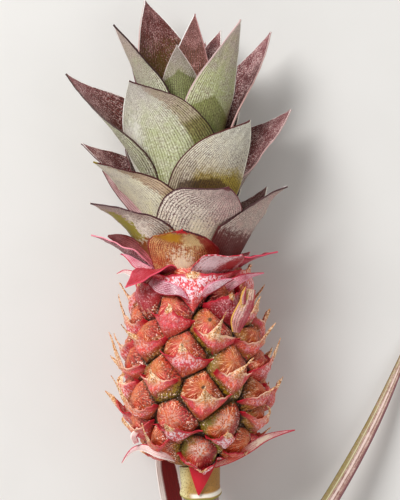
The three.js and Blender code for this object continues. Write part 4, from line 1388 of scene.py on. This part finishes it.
def bract_base(tree):
    """A fruitlet's bract: pink with white frost that rays from its keel, crimson edges, and a tan spine."""
    u, v = tree.uv("Eye")
    place = tree.place()
    cloud = tree.noise(place, 420.0, 3.0, 0.6)
    fine = tree.noise(place, 1600.0, 2.0, 0.6)
    grit = tree.noise(place, 2300.0, 1.0, 0.5)
    part = tree.math("ABSOLUTE", tree.minus(tree.times(u, 2.0), 1.0))
    rays = tree.noise(
        tree.vector(tree.times(u, 42.0), tree.times(v, 4.0), tree.times(cloud, 3.0)), 1.0, 2.0, 0.6)
    plain = tree.minus(1.0, tree.times(tree.measure("pink"), 0.75))
    salmon = tree.times(tree.step(cloud, 0.36, 0.54), plain)
    colour = tree.mix(salmon, paint("bract_pink"), srgb(226, 116, 72))
    colour = tree.mix(tree.times(tree.step(v, 0.5, 0.05), plain), colour, srgb(210, 84, 36))
    olive = tree.times(tree.step(v, 0.48, 0.1), tree.measure("olive"))
    colour = tree.mix(olive, colour, srgb(130, 114, 8))
    colour = tree.mix(tree.measure("blush"), colour, srgb(150, 16, 40))
    colour = tree.mix(tree.times(tree.step(rays, 0.53, 0.62), 0.85), colour, srgb(184, 18, 52))
    frost = tree.plus(tree.times(rays, 0.6), tree.times(fine, 0.5))
    inside = tree.times(tree.step(part, 0.95, 0.3), tree.step(v, 0.1, 0.4))
    frost = tree.times(tree.times(tree.step(frost, 0.5, 0.64), inside), tree.measure("frost"))
    colour = tree.mix(frost, colour, paint("frost"))
    crowd = tree.step(cloud, 0.46, 0.62, 0.08, 0.6)
    colour = tree.mix(tree.times(tree.step(grit, 0.57, 0.66), crowd), colour, srgb(255, 238, 234))
    colour = tree.mix(tree.times(tree.step(grit, 0.4, 0.34), 0.4), colour, srgb(150, 30, 40))
    edge_top = tree.step(tree.plus(v, tree.times(fine, 0.1)), 0.9, 0.99)
    edge_side = tree.step(tree.plus(part, tree.times(fine, 0.14)), 0.76, 0.98)
    edge = tree.times(tree.math("MAXIMUM", edge_top, edge_side), 0.92)
    papery = tree.times(tree.step(part, 0.95, 0.5), tree.step(tree.measure("dry"), 0.3, 0.7))
    lip = tree.mix(papery, paint("crimson"), srgb(244, 214, 190))
    colour = tree.mix(edge, colour, lip)
    middle = tree.times(tree.step(part, 0.6, 0.1), tree.step(v, 0.45, 0.8))
    dry = tree.times(middle, tree.measure("dry"))
    dry = tree.math("MAXIMUM", tree.step(tree.measure("edge"), 0.04, 0.3), dry)
    tan = tree.mix(tree.step(fine, 0.4, 0.6), paint("spine_tan"), srgb(244, 218, 190))
    tan = tree.mix(tree.times(tree.step(grit, 0.56, 0.64), 0.7), tan, srgb(130, 70, 44))
    colour = tree.mix(dry, colour, tan)
    # Scurf and painted shade: the bract's foot darkens to the groove colour where it meets the groove.
    rim = tree.step(tree.plus(v, tree.swing(fine, 0.14)), 0.1, 0.03)
    colour = tree.mix(tree.times(rim, 0.85), colour, paint("groove"))
    height = tree.plus(tree.times(rays, 0.8), tree.times(fine, 0.7))
    return {"colour": tree.vivid(colour, 1.3), "height": height}


def groove_base(tree):
    """The dark floor between the fruitlets, with scurf; its dark is partly painted shade deep in the grooves.
    """
    place = tree.place()
    cloud = tree.noise(place, 500.0, 3.0)
    colour = tree.mix(cloud, paint("groove"), srgb(128, 84, 36))
    outputs = tree.group("Scurf", Colour=colour, Dark=paint("groove"), Mask=0.7)
    return {"colour": outputs["Colour"], "height": outputs["Height"]}


def core_base(tree):
    """Leaf bases of the core: green, and pink at its foot."""
    place = tree.place()
    cloud = tree.noise(place, 300.0, 3.0)
    parts = tree.parts(place)
    up = tree.times(tree.minus(parts[1], float(FOOT[1])), 1000.0)
    colour = tree.mix(cloud, paint("leaf_green"), srgb(196, 190, 150))
    low = tree.step(tree.plus(up, tree.times(cloud, 2.0)), 6.0, 3.0)
    colour = tree.mix(low, colour, srgb(196, 40, 70))
    return {"colour": colour, "height": tree.noise(place, 1500.0, 3.0)}


def stem_base(tree):
    """Skin of the stem: mauve fibres along it, and pale specks."""
    place = tree.place()
    stretched = tree.node("Mapping", Vector=place, Scale=(1.0, 0.12, 1.0)).outputs[0]
    fibre = tree.noise(stretched, 1600.0, 3.0, 0.6)
    cloud = tree.noise(place, 240.0, 3.0)
    colour = tree.mix(tree.step(fibre, 0.36, 0.62), paint("stem_mauve"), srgb(188, 160, 158))
    colour = tree.mix(tree.times(cloud, 0.5), colour, srgb(126, 112, 92))
    speck = tree.step(tree.noise(place, 2400.0, 2.0, 0.7), 0.58, 0.68)
    colour = tree.mix(tree.times(speck, 0.7), colour, srgb(226, 214, 208))
    return {"colour": colour, "height": fibre}


def sheath_base(tree):
    """Leaf base round the stem: cream at the left, amber at the right, pale crescent over its rim."""
    place = tree.place()
    parts = tree.parts(place)
    over_rim = tree.measure("over_rim")
    cloud = tree.noise(place, 330.0, 3.0)
    fine = tree.noise(place, 1900.0, 2.0)
    left = tree.times(tree.minus(parts[0], float(FOOT[0])), 1000.0)
    cream = tree.step(tree.plus(left, tree.times(cloud, 3.0)), 1.5, -1.5)
    amber = tree.times(tree.step(tree.plus(left, cloud), 0.5, 3.5), 0.6)
    colour = tree.mix(amber, paint("sheath_green"), srgb(172, 112, 40))
    colour = tree.mix(cream, colour, srgb(230, 218, 160))
    colour = tree.mix(tree.times(tree.step(fine, 0.55, 0.65), 0.7), colour, srgb(130, 96, 40))
    crescent = tree.times(tree.step(over_rim, 2.6, 1.9), tree.step(over_rim, 1.0, 1.4))
    crescent = tree.times(crescent, tree.step(left, -1.0, 1.0))
    colour = tree.mix(crescent, colour, srgb(246, 240, 224))
    rim = tree.step(over_rim, 1.2, 0.8)
    colour = tree.mix(rim, colour, srgb(150, 140, 62))
    return {"colour": colour, "height": fine}


def table_base(tree):
    """The table: two pale greys in soft clouds."""
    grain = tree.noise(tree.place(), 40.0, 2.0)
    colour = tree.mix(grain, paint("floor"), srgb(232, 230, 227))
    return {"colour": colour}


# Looks of fruitlets, where the photograph shows more than chance gives: lengths in millimetres, the rise of
# a spine in degrees, the rest as shares
EYE_LOOKS = {
    8: dict(limit=7.5),
    9: dict(frost=2.6, olive=1.8, dry=0.0, pink=0.7, spine=0.0, keel=-1.6, gold=0.3, ruby=1.0),
    11: dict(limit=7.5, spine=0.15, frost=0.6),
    12: dict(limit=7.0, frost=0.3, olive=0.2, dry=0.0, pink=0.1, spine=0.0, keel=-1.0, gold=0.2),
    14: dict(frost=0.3, olive=0.9, dry=0.3, pink=0.3, spine=0.5, gold=0.3),
    15: dict(spine=0.3),
    17: dict(brow=2.2, keel=2.0, frost=1.8, olive=1.8, dry=0.05, pink=0.4, spine=0.1, gold=0.5, ruby=0.8),
    19: dict(spine=0.3),
    20: dict(spine=0.25),
    22: dict(
        brow=1.2, keel=1.6, frost=1.2, olive=0.4, dry=0.1, pink=0.9, spine=0.25, rise=60, lean=-0.6,
        gold=0.0),
    27: dict(frost=0.6, olive=0.5, dry=0.5, pink=0.2, gold=0.3),
    28: dict(spine=0.4),
    30: dict(frost=0.2, olive=0.3, dry=1.0, pink=0.5, spine=0.25, rise=70, pit=0.9, gold=1.0),
    32: dict(spine=0.3),
    33: dict(frost=0.5, olive=0.5, dry=0.6, pink=0.3, gold=0.3),
    35: dict(frost=0.3, olive=1.0, dry=0.9, pink=0.5, spine=0.15, rise=70, gold=0.9),
    36: dict(spine=0.4),
    38: dict(frost=0.35, olive=1.0, dry=0.8, pink=0.3, gold=0.9),
    40: dict(frost=0.4, olive=0.4, dry=0.6, pink=0.4, gold=0.4),
    41: dict(frost=0.8, olive=0.2, dry=0.4, pink=0.8, gold=0.0),
    43: dict(brow=1.3, keel=2.2, frost=0.8, olive=0.4, dry=0.3, pink=0.7, spine=0.2, rise=70, gold=0.4),
    45: dict(spine=0.3),
    46: dict(frost=0.4, olive=0.6, dry=0.6, pink=0.3, gold=0.8),
    48: dict(frost=0.4, olive=0.5, dry=0.4, pink=0.6, gold=0.5),
    49: dict(spine=0.35),
    51: dict(frost=0.3, olive=0.9, dry=1.0, pink=0.9, spine=0.5, rise=72, lean=0.2, pit=0.8, gold=0.5),
    54: dict(frost=0.6, olive=0.5, dry=0.9, pink=0.8, spine=0.4, rise=75, gold=0.5),
    56: dict(brow=1.4, keel=1.6, frost=0.3, olive=0.3, dry=0.1, pink=1.0, spine=0.2, rise=70, gold=0.2),
    59: dict(frost=0.3, olive=0.1, dry=0.0, pink=1.0, spine=0.0, keel=0.0, gold=0.0, blush=0.85),
    61: dict(frost=0.3, olive=0.1, dry=0.1, pink=1.0, spine=0.15, gold=0.0, blush=0.6),
    62: dict(spine=0.3),
    64: dict(frost=1.5, olive=0.0, dry=0.0, pink=1.0, spine=0.0, bulge=-2.4, keel=0.4, gold=0.0, proud=3.6),
}


# Steps of the build

class PINEAPPLE_OT_stage(Operator):
    """Adds the pale table, the soft studio light and the camera straight above the plant."""
    bl_idname = "pineapple.stage"
    bl_label = "Stage"

    def execute(self, context):
        deselect()
        bpy.ops.mesh.primitive_plane_add(size=TABLE_SIZE, location=(0, 0, -TABLE_DROP))
        floor = context.object
        floor.name = "table"
        bpy.ops.object.transform_apply(location=True)
        give_materials(floor, new_material("Table", table_base, roughness=0.9))

        world = bpy.data.worlds.new("Studio")
        context.scene.world = world
        world.use_nodes = True
        background = world.node_tree.nodes["Background"]
        background.inputs["Color"].default_value = STUDIO_COLOUR
        background.inputs["Strength"].default_value = STUDIO_STRENGTH

        foot = Vector(FOOT)
        for name, offset, size, power in LIGHTS:
            bpy.ops.object.light_add(type="AREA", location=foot + Vector(offset))
            light = context.object
            light.name = name
            light.data.size = size
            light.data.energy = power
            light.rotation_euler = (-Vector(offset)).to_track_quat("-Z", "Y").to_euler()

        place = foot + Vector((CAMERA_OFFSET[0], CAMERA_OFFSET[1], CAMERA_DISTANCE)) * MM
        bpy.ops.object.camera_add(location=place, rotation=(0, 0, 0))
        camera = context.object
        camera.data.sensor_fit = "AUTO"
        camera.data.sensor_width = SENSOR_WIDTH
        camera.data.lens = SENSOR_WIDTH * CAMERA_DISTANCE / (PICTURE_HEIGHT * POINT)
        camera.data.dof.use_dof = False
        context.scene.camera = camera
        context.scene.view_settings.view_transform = "Standard"
        context.scene.view_settings.look = "None"
        return {"FINISHED"}


class PINEAPPLE_OT_crown(Operator):
    """Adds the leaves of the crown that face the camera, each with its own colours, and colours the core."""
    bl_idname = "pineapple.crown"
    bl_label = "Crown leaves"

    def execute(self, context):
        maroon = blade_material("Leaf inside", MAROON)
        plain = blade_material("Leaf outside", PLAIN)
        for number, leaf in FRONT_LEAVES.items():
            name = f"crown_leaf_{number:02d}"
            outer = plain
            inner = maroon
            if number in OUTER_LOOKS:
                outer = blade_material(f"Leaf {number} outside", OUTER_LOOKS[number])
            if number in INNER_LOOKS:
                inner = blade_material(f"Leaf {number} inside", {**MAROON, **INNER_LOOKS[number]})
            add_blade(name, leaf, crown_radius(leaf["foot"]), outer, inner, number)

        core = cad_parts["crown_core"]
        core.data.materials.clear()
        give_materials(core, new_material("Leaf bases", core_base, roughness=0.6))
        return {"FINISHED"}


def under_leaf(index):
    """The rule of the leaves on the side of the table."""
    place = ((index * UNDER_LEAF_TURN + 0.4) % 1) * 2 - 1
    azimuth = 180 + UNDER_LEAF_SECTOR * place
    foot = 1 + UNDER_LEAF_STEP * index
    reach = UNDER_LEAF_REACH - 0.25 * foot
    tip = outward_at(np.float64(math.radians(azimuth))) * reach
    tip[1] = min(17 + 2.1 * foot, UNDER_LEAF_TOP)
    tip[2] = max(tip[2], -MIDDLE_HEIGHT - 2)
    return dict(
        azimuth=azimuth, foot=foot, tip=tuple(tip), width=UNDER_LEAF_WIDTH - 0.2 * foot, lift=14, splay=45,
        fullness=1.3)


class PINEAPPLE_OT_under_leaves(Operator):
    """Adds the crown's leaves on the side of the table."""
    bl_idname = "pineapple.under_leaves"
    bl_label = "Under leaves"

    def execute(self, context):
        outers = [
            blade_material(f"Under leaf {number} outside", look) for number, look in enumerate(UNDER_LOOKS)]
        inner = bpy.data.materials["Leaf inside"]
        for index in range(UNDER_LEAF_COUNT):
            leaf = under_leaf(index)
            name = f"under_leaf_{index + 1:02d}"
            outer = outers[index % len(outers)]
            add_blade(
                name, leaf, crown_radius(leaf["foot"]), outer, inner, UNDER_LEAF_SEED + index)
        return {"FINISHED"}


class PINEAPPLE_OT_neck(Operator):
    """Adds the crimson bracts of the neck and the pink star of bracts under them."""
    bl_idname = "pineapple.neck"
    bl_label = "Neck bracts"

    def execute(self, context):
        looks = {name: blade_material(name, look) for name, look in NECK_LOOKS.items()}
        for number, leaf in NECK_BRACTS.items():
            name = f"neck_bract_{number}"
            outer = looks[NECK_OUTSIDES.get(number, "Frosted bract")]
            inner = looks["Crimson bract" if number != 2 else "Dusky bract"]
            add_blade(
                name, {**leaf, "thin": 0.8}, crown_radius(leaf["foot"]), outer, inner,
                NECK_SEED + number, columns=14, rows=28)
        return {"FINISHED"}


class PINEAPPLE_OT_fruit(Operator):
    """Adds the fruit: the dark floor of its grooves, and each fruitlet with its dome, bract and spine."""
    bl_idname = "pineapple.fruit"
    bl_label = "Fruit"

    def execute(self, context):
        heights = np.linspace(FRUIT_BOTTOM + 0.4, FRUIT_TOP, 16)
        profile = [(float(barrel_radius(height)) - EYE_DEPTH - 0.1, height) for height in heights]
        heart = turned("fruit_heart", profile, 64)
        give_materials(heart, new_material("Groove floor", groove_base, roughness=0.8))
        finish_piece(heart, "fruit")
        dome_material = new_material("Rind", dome_base, roughness=0.5, bump=0.7, depth=0.0004)
        bract_material = new_material("Fruit bract", bract_base, roughness=0.55, bump=0.6, depth=0.0003)
        places = eye_places()
        chance = np.random.default_rng(FRUIT_SEED)
        for index in range(EYE_COUNT):
            if index in EYES_LEFT_OUT:
                continue
            dials = chance.uniform(size=DIAL_COUNT)
            look = EYE_LOOKS.get(index, {})
            eye = Eye(index, places, look, dials)
            shapes = [eye_dome(eye, dome_material), eye_bract(eye, bract_material)]
            fruitlet = joined(shapes, f"fruitlet_{index:02d}")
            measures = dict(
                frost=0.3 + 0.6 * dials[0], olive=0.2 + 0.8 * dials[4], dry=0.2 + 0.6 * dials[7],
                pink=0.2 + 0.7 * dials[9], pit=0.0, gold=dials[12], blush=0.15 * dials[13], ruby=0.0)
            for name, usual in measures.items():
                set_measure(fruitlet, name, look.get(name, usual))
            finish_piece(fruitlet, None, 60)
        looks = {name: blade_material(name, look) for name, look in LOOSE_LOOKS.items()}
        for name, (look, knots) in LOOSE_BRACTS.items():
            add_loose_bract(name, knots, looks[look])
        return {"FINISHED"}


def turned(name, profile, corners):
    """A turned body round the plant's middle line, closed at both ends, from its radii and heights."""
    deselect()
    bpy.ops.mesh.primitive_circle_add(
        vertices=corners, radius=1, fill_type="NGON", rotation=(math.pi / 2, 0, 0))
    piece = bpy.context.object
    piece.name = name
    piece.data.name = name
    bpy.ops.object.transform_apply(rotation=True)
    bpy.ops.object.mode_set(mode="EDIT")
    for _ in profile[1:]:
        bpy.ops.mesh.extrude_region_move(TRANSFORM_OT_translate={"value": (0, 1, 0)})
    bpy.ops.object.mode_set(mode="OBJECT")
    flat = coordinates(piece)
    step = np.rint(flat[:, 1]).astype(int)
    radii = np.array([radius for radius, _ in profile])
    heights = np.array([height for _, height in profile])
    shaped = np.stack([flat[:, 0] * radii[step], heights[step], flat[:, 2] * radii[step]], -1)
    set_coordinates(piece, to_part(shaped))
    bpy.ops.object.mode_set(mode="EDIT")
    bpy.ops.mesh.select_all(action="SELECT")
    bpy.ops.mesh.normals_make_consistent(inside=False)
    bpy.ops.object.mode_set(mode="OBJECT")
    return piece


def add_stem_body():
    """The stem, from its cut end up to the leaf base, with raised nodes."""
    profile = [(STEM_RADIUS * 0.6, STEM_END), (STEM_RADIUS, STEM_END + 0.4)]
    for number in range(STEM_NODE_COUNT, 0, -1):
        node = SHEATH_END - STEM_NODE_SPACING * number
        profile += [
            (STEM_RADIUS - 0.3, node - 2.5), (STEM_RADIUS + 0.1, node - 0.9),
            (STEM_RADIUS + STEM_NODE_RISE, node), (STEM_RADIUS + STEM_NODE_RISE * 0.6, node + 0.4),
            (STEM_RADIUS, node + 1.2)]
    profile.append((STEM_RADIUS - 0.3, SHEATH_END - BLADE_CLEARANCE))
    stem = turned("stem_body", profile, 48)
    give_materials(stem, new_material("Stem skin", stem_base, roughness=0.65))
    finish_piece(stem, "stem")


def add_sheath():
    """The leaf base round the stem's top, whose lower edge sags in front."""
    rim = STEM_RADIUS + STEM_NODE_RISE
    sheath = turned(
        "stem_sheath_body", [
            (STEM_RADIUS - 0.6, SHEATH_END), (STEM_RADIUS + 0.1, SHEATH_END + 0.05),
            (rim, SHEATH_END + 0.6), (rim, SHEATH_END + 1.2), (STEM_RADIUS + 0.35, SHEATH_END + 2.0),
            (STEM_RADIUS + 0.2, SHEATH_END + 3), (STEM_RADIUS + 0.4, SHEATH_END + 6),
            (STEM_RADIUS + 0.5, FRUIT_BOTTOM - BLADE_CLEARANCE)],
        56)
    points = coordinates(sheath)
    height = (points - FOOT) @ ALONG / MM
    front = np.clip((points - FOOT) @ UPWARD / MM / STEM_RADIUS, 0, 1)
    sag = SHEATH_SAG * front * smooth_step(SHEATH_END + 6, SHEATH_END + 2.5, height)
    set_measure(sheath, "over_rim", height - SHEATH_END)
    set_coordinates(sheath, points - ALONG * (sag * MM)[:, None])
    give_materials(sheath, new_material("Leaf base", sheath_base, roughness=0.5))
    finish_piece(sheath, "stem_sheath")


def add_hanging_bract():
    """The pointed crimson bract that hangs from the fruit over the leaf base."""
    bract = new_grid("stem_bract_blade", 12, 16, "Blade")
    flat = coordinates(bract)
    down = (1 - flat[:, 1]) / 2
    half = HANGING_HALF_WIDTH * (1 - down ** 1.1) + 0.15
    radius = STEM_RADIUS + STEM_NODE_RISE + 0.6
    turn = flat[:, 0] * half / radius + 0.12 - 0.22 * down
    height = FRUIT_BOTTOM - BLADE_CLEARANCE + 0.6 - HANGING_LENGTH * down
    rise = radius + 0.5 * (1 - np.abs(flat[:, 0])) * (1 - down) - 0.2 * down
    set_coordinates(bract, to_part(np.stack([np.sin(turn) * rise, height, np.cos(turn) * rise], -1)))
    crimson = blade_material("Hanging bract", HANGING)
    give_materials(bract, crimson, crimson)
    thicken(bract, HANGING_BRACT_THICKNESS * MM, 1 - 0.4 * down)
    set_bake_uv(bract, len(flat))
    finish_piece(bract, "stem_bract")


class PINEAPPLE_OT_stem(Operator):
    """Adds the stem with its nodes, the leaf base round its top and the pointed bract that hangs over it."""
    bl_idname = "pineapple.stem"
    bl_label = "Stem"

    def execute(self, context):
        add_stem_body()
        add_sheath()
        add_hanging_bract()
        return {"FINISHED"}


class PINEAPPLE_OT_stem_leaves(Operator):
    """Adds the two narrow leaves of the stem."""
    bl_idname = "pineapple.stem_leaves"
    bl_label = "Stem leaves"

    def execute(self, context):
        for name, leaf in STEM_LEAVES.items():
            material = blade_material(*STEM_LEAF_LOOKS[name])
            add_blade(
                name, leaf, STEM_RADIUS + STEM_NODE_RISE, material, material, STEM_LEAF_SEED,
                columns=10, rows=60)
        return {"FINISHED"}


class VIEW3D_PT_pineapple(Panel):
    """Lists the steps that build the pineapple, and its sizes and colours."""
    bl_label = "Miniature pineapple"
    bl_idname = "VIEW3D_PT_pineapple"
    bl_space_type = "VIEW_3D"
    bl_region_type = "UI"
    bl_category = "Pineapple"

    def draw(self, context):
        column = self.layout.column()
        for step in STEPS:
            column.operator(step.bl_idname)
        for group in (context.scene.pineapple_sizes, context.scene.pineapple_colours):
            for key in group.bl_rna.properties.keys():
                if key not in {"name", "rna_type"}:
                    column.prop(group, key)


STEPS = (
    PINEAPPLE_OT_stage, PINEAPPLE_OT_crown, PINEAPPLE_OT_under_leaves, PINEAPPLE_OT_neck,
    PINEAPPLE_OT_fruit, PINEAPPLE_OT_stem, PINEAPPLE_OT_stem_leaves)
CLASSES = (PineappleSizes, PineappleColours, *STEPS, VIEW3D_PT_pineapple)


def register():
    for item in CLASSES:
        bpy.utils.register_class(item)
    bpy.types.Scene.pineapple_sizes = PointerProperty(type=PineappleSizes)
    bpy.types.Scene.pineapple_colours = PointerProperty(type=PineappleColours)


def unregister():
    del bpy.types.Scene.pineapple_colours
    del bpy.types.Scene.pineapple_sizes
    for item in reversed(CLASSES):
        bpy.utils.unregister_class(item)


def main():
    register()
    make_blade_group()
    make_patch_group()
    make_scurf_and_shade_group()
    bpy.ops.pineapple.stage()
    bpy.ops.pineapple.crown()
    bpy.ops.pineapple.under_leaves()
    bpy.ops.pineapple.neck()
    bpy.ops.pineapple.fruit()
    bpy.ops.pineapple.stem()
    bpy.ops.pineapple.stem_leaves()
    deselect()


if __name__ == "__main__":
    main()
